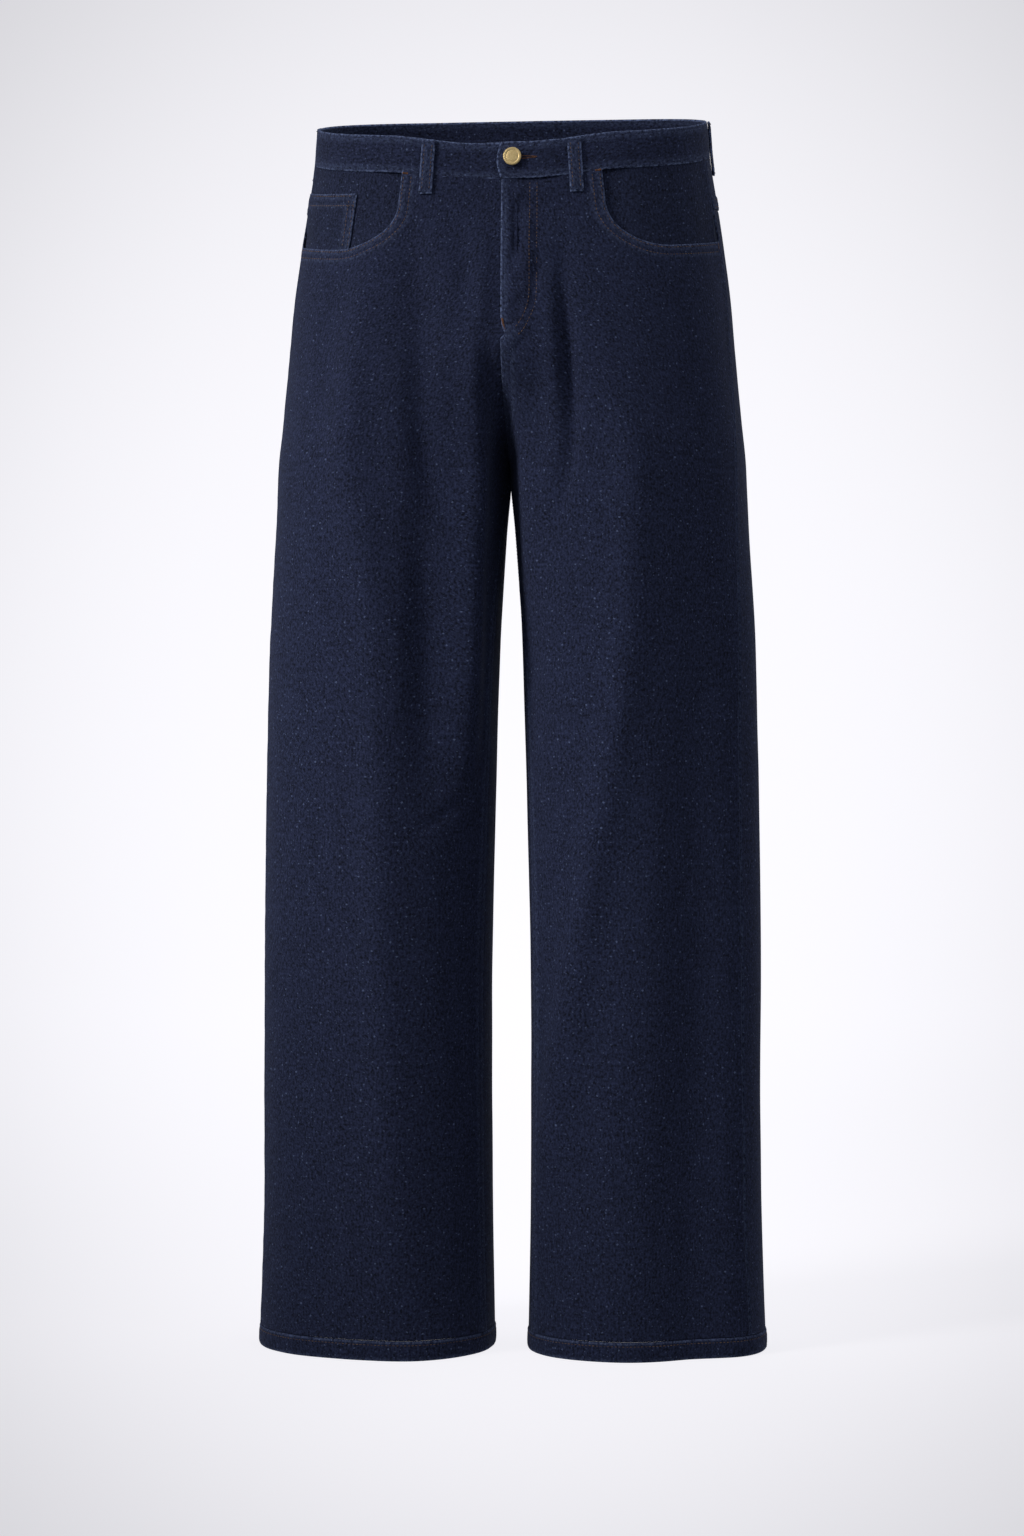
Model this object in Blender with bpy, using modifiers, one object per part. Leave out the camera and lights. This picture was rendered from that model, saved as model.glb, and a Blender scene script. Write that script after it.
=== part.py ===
"""Wide leg jeans, filled out and standing on their own hems.

Frame: metres, +Z up, the front faces -Y and +X is the wearer's left. The hems rest on Z = 0.

Every cloth piece is cut flat and then laid on one body form, the way a pattern is cut and sewn.
On the form a place has two coordinates: u, the distance along the level section from the front
crease line (growing outwards to the side seam and on to the back), and level, the height before
the waist is tipped down at the front. Left and right share the form and differ in their folds.
"""
import math
from functools import lru_cache

import bmesh
import bpy
import numpy as np
from mathutils import Vector
from mathutils.geometry import delaunay_2d_cdt

# ---------------------------------------------------------------- driving dimensions, in metres
HEM_HEIGHT = 0.017
FORK_LEVEL = 0.760
FORK_Y = -0.004
MIDDLE_Y = 0.0096
RIM_FRONT = 1.052
RIM_SIDE_RISE = 0.007
RIM_BACK_DROP = 0.0045
BAND_HEIGHT = 0.0315
WAIST_TIP = 0.28

DENIM = 0.0012
BAND = 0.0024
HEM = 0.0030
LOOP = 0.0018
SEAM_GAP = 0.0003
PANEL_GAP = 0.0005
LAYER_GAP = 0.0009
EDGE_STRIP = 0.003
TOUCH = 0.00001

ROUNDNESS = 2.15
INNER_ROUNDNESS = 2.3
RISE_POWER = 1.6
RISE_HEIGHT_FRONT = 0.110
RISE_HEIGHT_BACK = 0.120
HOOK_HEIGHT = 0.130

FLY_END = 0.8625
FLY_UNDERLAP = 0.014
FLY_LIFT = 0.0019
FLY_FLAT = 0.018
FLY_FALL = 0.027
FLY_FADE_LOW = 0.0450
FLY_FADE_HIGH = 0.0215
BAND_PROUD = 0.0006
BAND_LIFT = 0.0027
BAND_UNDERLAP = 0.036
BAND_END_BOW = 0.0035

WAIST_STEP = 0.020
POCKET_START = 0.084
POCKET_LEVEL = 0.956
POCKET_CORNER = (0.052, 0.040)
POCKET_TUCK = 0.025
POCKET_SINK = 0.0032
COIN_TOP = 1.008
COIN_INNER = 0.127
COIN_CLOTH = 0.0010
COIN_GAP = 0.0005

BACK_POCKET_X = 0.108

YOKE_SIDE_LEVEL = 0.985
YOKE_BACK_LEVEL = 0.955

LOOP_WIDTH = 0.0115
LOOP_LENGTH = 0.047
LOOP_BOW = 0.0010
SIDE_LOOP_BEHIND = 0.009
FRONT_LOOP_AT = 0.0605

BUTTON_RADIUS = 0.0076
BUTTON_AT = (0.0096, 0.018)

# The half section at each level. inner: half the gap between the legs. front, back: Y of the crease
# lines, whose X is front_crease and back_crease. outer, side_y: the widest point. seat: how far the
# centre back lies inside the back crease. outseam_left, outseam_right, inseam: how far each seam
# runs ahead of the widest or the innermost line.
FORM = {
    "level":         (0.000, 0.140, 0.300, 0.450, 0.600, 0.700, 0.760, 0.800, 0.860, 0.900, 0.950, 0.990, 1.025, 1.062),
    "inner":         (.0148, .0170, .0175, .0144, .0103, .0046, .00015, .00015, .00015, .00015, .00015, .00015, .00015, .00015),
    "front_crease":  (.1176, .1160, .1160, .1140, .1110, .1080, .1040, .0950, .0780, .0660, .0520, .0440, .0400, .0360),
    "front":         (-.0835, -.0835, -.0850, -.0885, -.0965, -.1050, -.1085, -.1100, -.1120, -.1120, -.1100, -.1060, -.1040, -.1020),
    "outer":         (.2204, .2158, .2157, .2138, .2110, .2055, .2030, .1990, .1935, .1900, .1835, .1772, .1718, .1682),
    "side_y":        (.0000, .0000, .0000, .0000, .0000, .0010, .0020, .0030, .0040, .0040, .0030, .0010, .0000, .0000),
    "back_crease":   (.1176, .1160, .1160, .1140, .1110, .1080, .1050, .0950, .0800, .0700, .0560, .0460, .0420, .0380),
    "back":          (.0810, .0810, .0820, .0860, .0950, .1100, .1170, .1270, .1320, .1300, .1220, .1130, .1080, .1040),
    "seat":          (.0000, .0000, .0000, .0000, .0000, .0000, .0000, .0060, .0100, .0080, .0030, .0000, .0000, .0000),
    "outseam_left":  (.0410, .0420, .0440, .0450, .0470, .0490, .0470, .0400, .0330, .0290, .0270, .0260, .0260, .0260),
    "outseam_right": (.0220, .0225, .0235, .0240, .0250, .0265, .0270, .0280, .0290, .0290, .0270, .0260, .0260, .0260),
    "inseam":        (.0300, .0310, .0320, .0320, .0290, .0180, .0000, .0000, .0000, .0000, .0000, .0000, .0000, .0000),
}

# The largest folds. A fold runs from (u_top, top) to (u_low, low) on the form, with its own depth
# (negative is a valley) and half width, and fades out at both ends.
FOLDS = (
    # side, top, low, u_top, u_low, depth, width
    (+1, 0.965, 0.690, +0.005, -0.065, -0.0080, 0.011),
    (+1, 0.920, 0.430, +0.014, -0.018, +0.0060, 0.020),
    (+1, 0.640, 0.040, +0.000, -0.110, +0.0080, 0.020),
    (+1, 0.900, 0.580, -0.078, -0.104, +0.0080, 0.022),
    (+1, 0.950, -0.500, +0.066, +0.042, -0.0190, 0.045),
    (+1, 0.860, 0.420, +0.300, +0.270, -0.0050, 0.026),
    (+1, 0.560, 0.080, +0.215, +0.235, -0.0040, 0.024),
    (-1, 0.985, 0.770, -0.004, -0.106, -0.0050, 0.012),
    (-1, 0.950, 0.560, +0.062, -0.016, +0.0065, 0.019),
    (-1, 0.760, 0.000, +0.004, -0.026, +0.0045, 0.018),
    (-1, 0.900, -0.450, +0.010, -0.060, +0.0130, 0.048),
    (-1, 0.960, 0.680, +0.014, -0.064, -0.0070, 0.016),
    (-1, 0.800, 0.420, -0.040, -0.048, -0.0060, 0.016),
    (-1, 0.960, 0.680, -0.044, -0.098, +0.0080, 0.015),
    (-1, 0.840, 0.440, -0.086, -0.084, +0.0125, 0.017),
    (-1, 0.870, 0.440, +0.290, +0.262, -0.0050, 0.026),
    (-1, 0.520, 0.060, +0.225, +0.205, -0.0040, 0.024),
)

LEVELS = (0.090, 0.170, 0.250, 0.330, 0.410, 0.490, 0.560, 0.620, 0.675, 0.725, FORK_LEVEL,
          0.765, 0.772, 0.781, 0.793, 0.808, 0.825, 0.844, 0.865, 0.886, 0.909, 0.932, 0.946,
          0.962, 0.980, 0.998, 1.015)
COLUMN = 0.0340
QUARTER_STEPS = 48

COLOURS = {
    "denim": (0.020, 0.026, 0.060),
    "pocket_denim": (0.016, 0.021, 0.050),
    "brass": (0.560, 0.400, 0.160),
    "label": (0.600, 0.610, 0.680),
}


# ---------------------------------------------------------------- small maths helpers
def smoothstep(low, high, value):
    """0 below low, 1 above high, smooth between."""
    t = np.clip((np.asarray(value, float) - low) / (high - low), 0.0, 1.0)
    return t * t * (3.0 - 2.0 * t)


def monotone_slopes(at, values):
    """Slopes for a curve through a table that never overshoots it."""
    step = np.diff(at)
    rate = np.diff(values) / step
    slopes = np.zeros(len(at))
    for i in range(1, len(at) - 1):
        if rate[i - 1] * rate[i] > 0.0:
            before = 2.0 * step[i] + step[i - 1]
            after = step[i] + 2.0 * step[i - 1]
            slopes[i] = (before + after) / (before / rate[i - 1] + after / rate[i])
    slopes[0] = rate[0]
    slopes[-1] = rate[-1]
    return slopes


@lru_cache(maxsize=None)
def form_slopes(column):
    """The slopes of one column of FORM."""
    return monotone_slopes(np.array(FORM["level"]), np.array(FORM[column]))


def form(column, level):
    """One column of FORM, read smoothly at any level."""
    at = FORM["level"]
    values = FORM[column]
    level = min(max(level, at[0]), at[-1])
    i = min(int(np.searchsorted(at, level, side="right")) - 1, len(at) - 2)
    width = at[i + 1] - at[i]
    t = (level - at[i]) / width
    slopes = form_slopes(column)
    rise = t * t * (3.0 - 2.0 * t)
    return (values[i] + (values[i + 1] - values[i]) * rise
            + width * t * (1.0 - t) * ((1.0 - t) * slopes[i] - t * slopes[i + 1]))


# ---------------------------------------------------------------- the body form
def tip(level):
    """How much one metre of depth lifts a point, so that the waist is low at the front."""
    return float(WAIST_TIP * smoothstep(FORK_LEVEL, RIM_FRONT, level))


def rise_share(level, height):
    """0 at the fork and 1 where the centre seam has reached the full depth of the section."""
    t = min(max((level - FORK_LEVEL) / height, 0.0), 1.0)
    return (1.0 - (1.0 - t) ** RISE_POWER) ** (1.0 / RISE_POWER)


def relief(side, u, level):
    """Height of the folds above the plain form."""
    total = np.zeros_like(u)
    for fold_side, top, low, u_top, u_low, depth, width in FOLDS:
        if fold_side != side or not low < level < top:
            continue
        t = (top - level) / (top - low)
        centre = u_top + (u_low - u_top) * t
        fade = math.sin(math.pi * t) ** 1.2
        total += depth * fade * np.exp(-((u - centre) / width) ** 2)
    return total


@lru_cache(maxsize=None)
def section(side, level):
    """The half section above the fork, or the whole leg below it, as arrays u, x and y."""
    inner = form("inner", level)
    front = form("front", level)
    back = form("back", level)
    side_y = form("side_y", level)
    outer = form("outer", level)
    front_crease = form("front_crease", level)
    back_crease = form("back_crease", level)
    hook = 1.0 - smoothstep(FORK_LEVEL, FORK_LEVEL + HOOK_HEIGHT, level)

    t = np.linspace(0.0, 1.0, QUARTER_STEPS + 1)
    turn = t * math.pi / 2.0
    power, inner_power = 2.0 / ROUNDNESS, 2.0 / INNER_ROUNDNESS

    def inner_quarter(crease, depth, share, seat=0.0):
        """From the centre seam to a crease: a flat S near the waist, a round thigh at the fork."""
        centre = FORK_Y + (depth - seat - FORK_Y) * share
        first = math.asin(share ** (1.0 / inner_power))
        turn = first + (math.pi / 2.0 - first) * t
        reach = (crease - inner) / max(math.cos(first), 0.05) ** inner_power
        flat_x = inner + (crease - inner) * t
        flat_y = centre + (depth - centre) * (1.0 - np.cos(math.pi * t)) / 2.0
        round_x = crease - reach * np.cos(turn) ** inner_power
        round_y = FORK_Y + (depth - FORK_Y) * np.sin(turn) ** inner_power
        return flat_x + (round_x - flat_x) * hook, flat_y + (round_y - flat_y) * hook

    def outer_quarter(crease, depth):
        """From a crease to the widest point."""
        return crease + (outer - crease) * np.sin(turn) ** power, side_y + (depth - side_y) * np.cos(turn) ** power

    x0, y0 = inner_quarter(front_crease, front, rise_share(level, RISE_HEIGHT_FRONT))
    x1, y1 = outer_quarter(front_crease, front)
    x2, y2 = outer_quarter(back_crease, back)
    x3, y3 = inner_quarter(back_crease, back, rise_share(level, RISE_HEIGHT_BACK), form("seat", level))
    x = np.concatenate([x0, x1[1:], x2[-2::-1], x3[-2::-1]])
    y = np.concatenate([y0, y1[1:], y2[-2::-1], y3[-2::-1]])
    length = np.concatenate([[0.0], np.cumsum(np.hypot(np.diff(x), np.diff(y)))])
    u = length - length[QUARTER_STEPS]

    height = relief(side, u, level)
    if level > FORK_LEVEL:
        height = height * smoothstep(0.0, 0.022, u - u[0]) * smoothstep(0.0, 0.022, u[-1] - u)
    along_x = np.gradient(x, length)
    along_y = np.gradient(y, length)
    size = np.hypot(along_x, along_y)
    return u, x + along_y / size * height, y - along_x / size * height


def u_inner(side, level):
    """u at the centre front, or at the innermost line of a leg."""
    return float(section(side, level)[0][0])


def u_back(side, level):
    """u at the centre back, or at the innermost line of a leg reached round the back."""
    return float(section(side, level)[0][-1])


def u_widest(side, level):
    """u at the widest line of the section."""
    return float(section(side, level)[0][2 * QUARTER_STEPS])


def u_outseam(side, level):
    """u of the side seam."""
    column = "outseam_left" if side > 0 else "outseam_right"
    return u_widest(side, level) - form(column, level)


def on_form(side, u, level):
    """The point of the form; past a centre seam it carries on along the other side."""
    level = round(level, 6)
    stations, x, y = section(side, level)
    if level < FORK_LEVEL:
        u = stations[0] + (u - stations[0]) % (stations[-1] - stations[0])
    elif u < stations[0] - TOUCH:
        past = stations[0] - u
        side = -side
        stations, x, y = section(side, level)
        u = stations[0] + past
    elif u > stations[-1] + TOUCH:
        past = u - stations[-1]
        side = -side
        stations, x, y = section(side, level)
        u = stations[-1] - past
    depth = float(np.interp(u, stations, y))
    return Vector((side * float(np.interp(u, stations, x)), depth - MIDDLE_Y, level + tip(level) * depth))


def outward(side, u, level):
    """The form's unit normal, pointing out of the cloth."""
    probe = 0.0015
    along_u = on_form(side, u + probe, level) - on_form(side, u - probe, level)
    along_level = on_form(side, u, level + probe) - on_form(side, u, level - probe)
    return side * along_u.cross(along_level).normalized()


def lay(side, u, level, out=0.0):
    """A point laid on the form and moved out by out."""
    place = on_form(side, u, level)
    return place + outward(side, u, level) * out if out else place


# ---------------------------------------------------------------- seam lines
def waist_half(side, level=1.04):
    """Half the waist, from the centre front to the centre back."""
    return u_back(side, level) - u_inner(side, level)


def rim_level(side, s):
    """Level of the waistband's top edge, s along the waist from the centre front."""
    return float(RIM_FRONT + RIM_SIDE_RISE * smoothstep(0.02, 0.10, s)
                 - RIM_BACK_DROP * smoothstep(0.20, 0.40, s))


def waist_point(side, s):
    """The point (u, level) of a panel's top edge, s along the waist from the centre front."""
    level = rim_level(side, max(s, 0.0)) - BAND_HEIGHT - SEAM_GAP
    return min(u_inner(side, level) + s, u_back(side, level)), level


def waist_stations(start, end):
    """start, the shared distances along the waist between them, and end, in either order."""
    low, high = min(start, end), max(start, end)
    shared = [WAIST_STEP * i for i in range(-2, 40)]
    inside = [s for s in shared if low + 0.003 < s < high - 0.003]
    return [start] + (inside if start < end else inside[::-1]) + [end]


def waist_edge(side, start, end):
    """Points of a top edge between two distances along the waist."""
    return [waist_point(side, s) for s in waist_stations(start, end)]


def pocket_start(side):
    """u where the pocket opening leaves the waistband."""
    return waist_point(side, POCKET_START)[0]


def pocket_curve(side):
    """The pocket opening: straight down, round a quarter ellipse, then level to the side seam."""
    start = pocket_start(side)
    wide, high = POCKET_CORNER
    points = [(start, waist_point(side, POCKET_START)[1])]
    for i in range(9):
        turn = math.pi / 2.0 * i / 8
        points.append((start + wide * (1.0 - math.cos(turn)), POCKET_LEVEL + high * (1.0 - math.sin(turn))))
    seam = u_outseam(side, POCKET_LEVEL)
    points += [(u, POCKET_LEVEL) for u in spread(start + wide, seam, 0.014)[1:]]
    return points


def yoke_level(side, u):
    """Level of the yoke seam."""
    side_u = u_outseam(side, YOKE_SIDE_LEVEL)
    share = (u - side_u) / (u_back(side, YOKE_BACK_LEVEL) - side_u)
    return YOKE_SIDE_LEVEL + (YOKE_BACK_LEVEL - YOKE_SIDE_LEVEL) * share


def fly_lift(side, u, level):
    """How far the wearer's left front rides over the other one at the fly."""
    if side < 0:
        return 0.0
    s = u - u_inner(side, level)
    flat = 1.0 - smoothstep(FLY_FLAT, FLY_FLAT + FLY_FALL, s)
    return float(FLY_LIFT * flat * smoothstep(FLY_END - FLY_FADE_LOW, FLY_END - FLY_FADE_HIGH, level))


# ---------------------------------------------------------------- flat outlines
def spread(start, end, step):
    """Evenly spaced numbers from start to end, both included, no more than step apart."""
    count = max(1, math.ceil(abs(end - start) / step - 1e-6))
    return [start + (end - start) * i / count for i in range(count + 1)]


def levels_between(low, high):
    """low, the shared LEVELS between them, and high."""
    return [low] + [level for level in LEVELS if low + 0.004 < level < high - 0.004] + [high]


def signed_area(outline):
    """Area of a flat outline, positive when it runs anticlockwise."""
    return 0.5 * sum(a[0] * b[1] - b[0] * a[1] for a, b in zip(outline, outline[1:] + outline[:1]))


def inset(outline, width):
    """The outline moved inwards by width, a point for a point."""
    moved = []
    for before, here, after in zip(outline[-1:] + outline[:-1], outline, outline[1:] + outline[:1]):
        into = Vector((here[0] - before[0], here[1] - before[1])).normalized()
        away = Vector((after[0] - here[0], after[1] - here[1])).normalized()
        bisector = (Vector((-into.y, into.x)) + Vector((-away.y, away.x))).normalized()
        share = max(bisector.dot(Vector((-into.y, into.x))), 0.5)
        moved.append((here[0] + bisector.x * width / share, here[1] + bisector.y * width / share))
    return moved


def clearance(outline, point):
    """Distance from a point to the outline, negative outside it."""
    ends = np.array(outline)
    span = np.roll(ends, -1, axis=0) - ends
    to_point = np.array(point) - ends
    share = np.clip((to_point * span).sum(axis=1) / (span * span).sum(axis=1), 0.0, 1.0)
    distance = np.hypot(*(to_point - span * share[:, None]).T).min()
    crosses = (ends[:, 1] > point[1]) != (np.roll(ends, -1, axis=0)[:, 1] > point[1])
    with np.errstate(divide="ignore", invalid="ignore"):
        meets = ends[:, 0] + span[:, 0] * (point[1] - ends[:, 1]) / span[:, 1]
    inside = np.count_nonzero(crosses & (point[0] < meets)) % 2 == 1
    return distance if inside else -distance


def grid_inside(outline, step, levels, margin=0.008):
    """The crossings of levels and of columns a step apart that lie well inside the outline."""
    first = math.floor(min(u for u, _ in outline) / step)
    last = math.ceil(max(u for u, _ in outline) / step)
    columns = [step * i for i in range(first, last + 1)]
    return [(u, level) for level in levels for u in columns if clearance(outline, (u, level)) > margin]


def fly_lines(side):
    """Points along the two lines where the lap over the fly starts to fall and ends."""
    lines = []
    for level in [FLY_END - FLY_FADE_LOW, FLY_END - FLY_FADE_HIGH] + [level for level in LEVELS if level > FLY_END]:
        lines += [(u_inner(side, level) + s, level) for s in (FLY_FLAT, FLY_FLAT + FLY_FALL)]
    return lines


def apart_from(points, others, distance):
    """The points that keep their distance from the others."""
    return [point for point in points if all(math.dist(point, other) > distance for other in others)]


def front_outline(side):
    """A front panel: centre front or inseam, hem, side seam, pocket opening and waist."""
    half_gap = PANEL_GAP / 2.0
    foot = HEM_HEIGHT + SEAM_GAP
    outline = []
    for level in levels_between(foot, FORK_LEVEL)[::-1]:
        outline.append((u_inner(side, level) + form("inseam", level) + half_gap, level))
    outline = [(u_inner(side, FORK_LEVEL), FORK_LEVEL)] + outline[1:]
    left = u_inner(side, foot) + form("inseam", foot) + half_gap
    right = u_outseam(side, foot) - half_gap
    outline += [(u, foot) for u in spread(left, right, COLUMN)[1:-1]]
    outline += [(u_outseam(side, level) - half_gap, level) for level in levels_between(foot, POCKET_LEVEL)]
    outline += pocket_curve(side)[::-1][1:-1]
    if side < 0:
        outline += waist_edge(side, POCKET_START, -FLY_UNDERLAP)
        outline += [(u_inner(side, level) - FLY_UNDERLAP, level) for level in levels_between(FLY_END, 1.01)[::-1]]
        outline += [(u_inner(side, level), level) for level in levels_between(FORK_LEVEL, FLY_END - 0.001)[:0:-1]]
    else:
        outline += waist_edge(side, POCKET_START, 0.0)
        outline += [(u_inner(side, level), level) for level in levels_between(FORK_LEVEL, 1.012)[:0:-1]]
    return outline


def back_outline(side):
    """A back panel: side seam, hem, inseam, centre back and yoke seam."""
    half_gap = PANEL_GAP / 2.0
    foot = HEM_HEIGHT + SEAM_GAP
    outline = []
    for level in levels_between(foot, YOKE_SIDE_LEVEL)[::-1]:
        outline.append((u_outseam(side, level) + half_gap, level))
    outline[0] = (outline[0][0], yoke_level(side, outline[0][0]) - half_gap)
    top = YOKE_BACK_LEVEL - half_gap
    left = u_outseam(side, foot) + half_gap
    right = u_back(side, foot) + form("inseam", foot) - half_gap
    outline += [(u, foot) for u in spread(left, right, COLUMN)[1:-1]]
    outline += [(u_back(side, level) + form("inseam", level) - half_gap, level)
                for level in levels_between(foot, FORK_LEVEL)[:-1]]
    outline += [(u_back(side, level), level) for level in levels_between(FORK_LEVEL, top)]
    ends = (u_back(side, YOKE_BACK_LEVEL), u_outseam(side, YOKE_SIDE_LEVEL) + half_gap)
    outline += [(u, yoke_level(side, u) - half_gap) for u in spread(*ends, COLUMN)[1:-1]]
    return outline


def yoke_outline(side):
    """A yoke: side seam, yoke seam, centre back and waist."""
    half_gap = SEAM_GAP / 2.0
    left = u_outseam(side, YOKE_SIDE_LEVEL) + half_gap
    right = u_back(side, YOKE_BACK_LEVEL)
    outline = [(u, yoke_level(side, u) + half_gap) for u in spread(left, right, COLUMN)[:-1]]
    outline += [(u_back(side, level), level) for level in (YOKE_BACK_LEVEL + half_gap, 0.975, 1.0)]
    seam = u_outseam(side, 1.026) - u_inner(side, 1.026) + half_gap
    outline += waist_edge(side, waist_half(side, 1.0), seam)
    outline += [(u_outseam(side, 1.005) + half_gap, 1.005)]
    return outline


def bearer_outline(side):
    """The pocket's facing under the opening, tucked behind the front panel all along it."""
    start = pocket_start(side) - POCKET_TUCK
    low = POCKET_LEVEL - POCKET_TUCK
    seam_inset = 0.0012
    outline = [(start, 0.985), (start + 0.006, 0.962), (start + 0.026, 0.940), (start + 0.052, low)]
    outline += [(u, low) for u in spread(start + 0.052, u_outseam(side, low) - seam_inset, 0.020)[1:]]
    outline += [(u_outseam(side, level) - seam_inset, level) for level in (0.944, 0.956, 0.972, 0.990, 1.008)]
    seam = u_outseam(side, 1.026) - u_inner(side, 1.026) - seam_inset
    outline += waist_edge(side, seam, POCKET_START - POCKET_TUCK)
    return outline


def coin_outline(side):
    """The coin pocket on the wearer's right facing, its lower part tucked behind the front."""
    inner = u_inner(side, COIN_TOP) + COIN_INNER
    low = POCKET_LEVEL - 0.014
    outline = [(inner, level) for level in (COIN_TOP, 0.992, 0.976, 0.960)] + [(inner, low)]
    outline += [(u, low) for u in spread(inner, u_outseam(side, low) - 0.003, 0.018)[1:]]
    outline += [(u_outseam(side, level) - 0.003, level) for level in (0.956, 0.972, 0.990)]
    outer = u_outseam(side, COIN_TOP) - 0.003
    outline += [(u, COIN_TOP - 0.004 * (u - inner) / (outer - inner)) for u in spread(outer, inner, 0.018)[:-1]]
    return outline


def pocket_sink(side, u, level):
    """How far the facing lies below the form: deep at the opening, almost level in the middle."""
    curve = pocket_curve(side)
    fence = curve + [(curve[-1][0] + 0.05, 0.90), (curve[0][0] - 0.10, 0.90), (curve[0][0] - 0.10, 1.06)]
    beyond = -clearance(fence[::-1], (u, level))
    return float(POCKET_SINK * (1.0 - 0.62 * smoothstep(0.004, 0.034, beyond)))


def back_pocket_outline(side):
    """A back pocket: five corners, a little wider at the top, its point down."""
    corners = ((-0.072, 0.922), (-0.064, 0.800), (0.005, 0.776), (0.072, 0.806), (0.077, 0.932))
    outline = []
    for here, after in zip(corners, corners[1:] + corners[:1]):
        steps = spread(0.0, 1.0, 0.024 / math.dist(here, after))[:-1]
        outline += [(here[0] + (after[0] - here[0]) * t, here[1] + (after[1] - here[1]) * t) for t in steps]
    return outline


def back_pocket_centre(side, level):
    """u of the line down the middle of a back pocket."""
    stations, x, _ = section(side, round(level, 6))
    tail = slice(2 * QUARTER_STEPS, None)
    return float(np.interp(-BACK_POCKET_X, -x[tail], stations[tail]))


# ---------------------------------------------------------------- making pieces
def material(name, colour, roughness, metallic=0.0):
    """A plain Principled material."""
    made = bpy.data.materials.new(name)
    made.use_nodes = True
    shader = made.node_tree.nodes["Principled BSDF"]
    shader.inputs["Base Color"].default_value = (*colour, 1.0)
    shader.inputs["Roughness"].default_value = roughness
    shader.inputs["Metallic"].default_value = metallic
    made.diffuse_color = (*colour, 1.0)
    return made


def add_object(name, mesh, finish, parts):
    """Put a mesh in the collection under its node's name."""
    made = bpy.data.objects.new(name, mesh)
    mesh.materials.append(finish)
    parts.objects.link(made)
    return made


def add_wall(made, thickness):
    """Turn an open sheet into cloth, growing inwards from its outer face."""
    solid = made.modifiers.new("Wall", "SOLIDIFY")
    solid.thickness = thickness
    solid.offset = -1.0
    solid.use_even_offset = True
    solid.use_rim = True


def cut_piece(name, outline, place, finish, parts, wall, inner_points=(), flip=False):
    """Cut a flat outline, fill it with triangles and lay every point with place(u, level)."""
    if signed_area(outline) < 0.0:
        outline = outline[::-1]
    points = list(outline) + inset(outline, EDGE_STRIP) + list(inner_points)
    loop = list(range(len(outline)))
    flat = [Vector(point) for point in points]
    verts, _, faces, *_ = delaunay_2d_cdt(flat, [], [loop], 1, 1e-7)
    mesh = bpy.data.meshes.new(name)
    mesh.from_pydata([place(vert.x, vert.y) for vert in verts], [],
                     [face[::-1] if flip else face for face in faces])
    made = add_object(name, mesh, finish, parts)
    add_wall(made, wall)
    return made


def side_name(side):
    """The wearer's side."""
    return "left" if side > 0 else "right"


def make_fronts(denim, parts):
    """Two front panels; the wearer's left one laps over the other at the fly."""
    for side in (+1, -1):
        outseam = u_outseam(side, POCKET_LEVEL - 0.013)

        def place(u, level, side=side):
            return lay(side, u, level, fly_lift(side, u, level))

        outline = front_outline(side)
        behind_edge = [(u, POCKET_LEVEL - 0.013) for u in spread(pocket_start(side) + 0.030, outseam, 0.014)[:-1]]
        kept = fly_lines(side) + behind_edge
        grid = apart_from(grid_inside(outline, COLUMN, LEVELS), kept, 0.009)
        cut_piece(f"front_{side_name(side)}", outline, place, denim, parts, DENIM, kept + grid, side < 0)


def make_backs(denim, parts):
    """Two back panels and the yokes above them."""
    for side in (+1, -1):
        def place(u, level, side=side):
            return lay(side, u, level)

        for name, outline in (("back", back_outline(side)), ("yoke", yoke_outline(side))):
            grid = grid_inside(outline, COLUMN, LEVELS)
            cut_piece(f"{name}_{side_name(side)}", outline, place, denim, parts, DENIM, grid, side < 0)


def make_front_pockets(denim, parts):
    """The facings seen in the pocket openings, and the coin pocket on the wearer's right one."""
    for side in (+1, -1):
        def place(u, level, side=side):
            return lay(side, u, level, -pocket_sink(side, u, level))

        outline = bearer_outline(side)
        grid = grid_inside(outline, 0.017, (0.943, 0.957, 0.975, 0.995))
        cut_piece(f"pocket_bearer_{side_name(side)}", outline, place, denim, parts, DENIM, grid, side < 0)

    def on_facing(u, level):
        return lay(-1, u, level, COIN_CLOTH + COIN_GAP - pocket_sink(-1, u, level))

    outline = coin_outline(-1)
    grid = grid_inside(outline, 0.017, (0.957, 0.975, 0.995))
    cut_piece("coin_pocket", outline, on_facing, denim, parts, COIN_CLOTH, grid, True)


def make_back_pockets(denim, parts):
    """Two plain patch pockets on the back panels."""
    for side in (+1, -1):
        def place(across, level, side=side):
            return lay(side, back_pocket_centre(side, level) + across, level, DENIM + LAYER_GAP)

        outline = back_pocket_outline(side)
        grid = grid_inside(outline, 0.025, LEVELS)
        cut_piece(f"back_pocket_{side_name(side)}", outline, place, denim, parts, DENIM, grid, side < 0)


def make_hems(denim, parts):
    """The turned-up hems: a ring round each leg, standing flat on the ground."""
    out = 0.0009
    for side in (+1, -1):
        start = u_inner(side, HEM_HEIGHT / 2.0)
        around = spread(start, u_back(side, HEM_HEIGHT / 2.0), 0.0195)[:-1]
        ring = [lay(side, u, HEM_HEIGHT / 2.0, out) for u in around]
        heights = (0.0, EDGE_STRIP, HEM_HEIGHT)
        verts = [(point.x, point.y, height) for height in heights for point in ring]
        count = len(ring)
        faces = []
        for row in range(len(heights) - 1):
            for i in range(count):
                low, after = row * count + i, row * count + (i + 1) % count
                face = (low, after, after + count, low + count)
                faces.append(face if side > 0 else face[::-1])
        mesh = bpy.data.meshes.new(f"hem_{side_name(side)}")
        mesh.from_pydata(verts, [], faces)
        add_wall(add_object(f"hem_{side_name(side)}", mesh, denim, parts), HEM)


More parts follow.
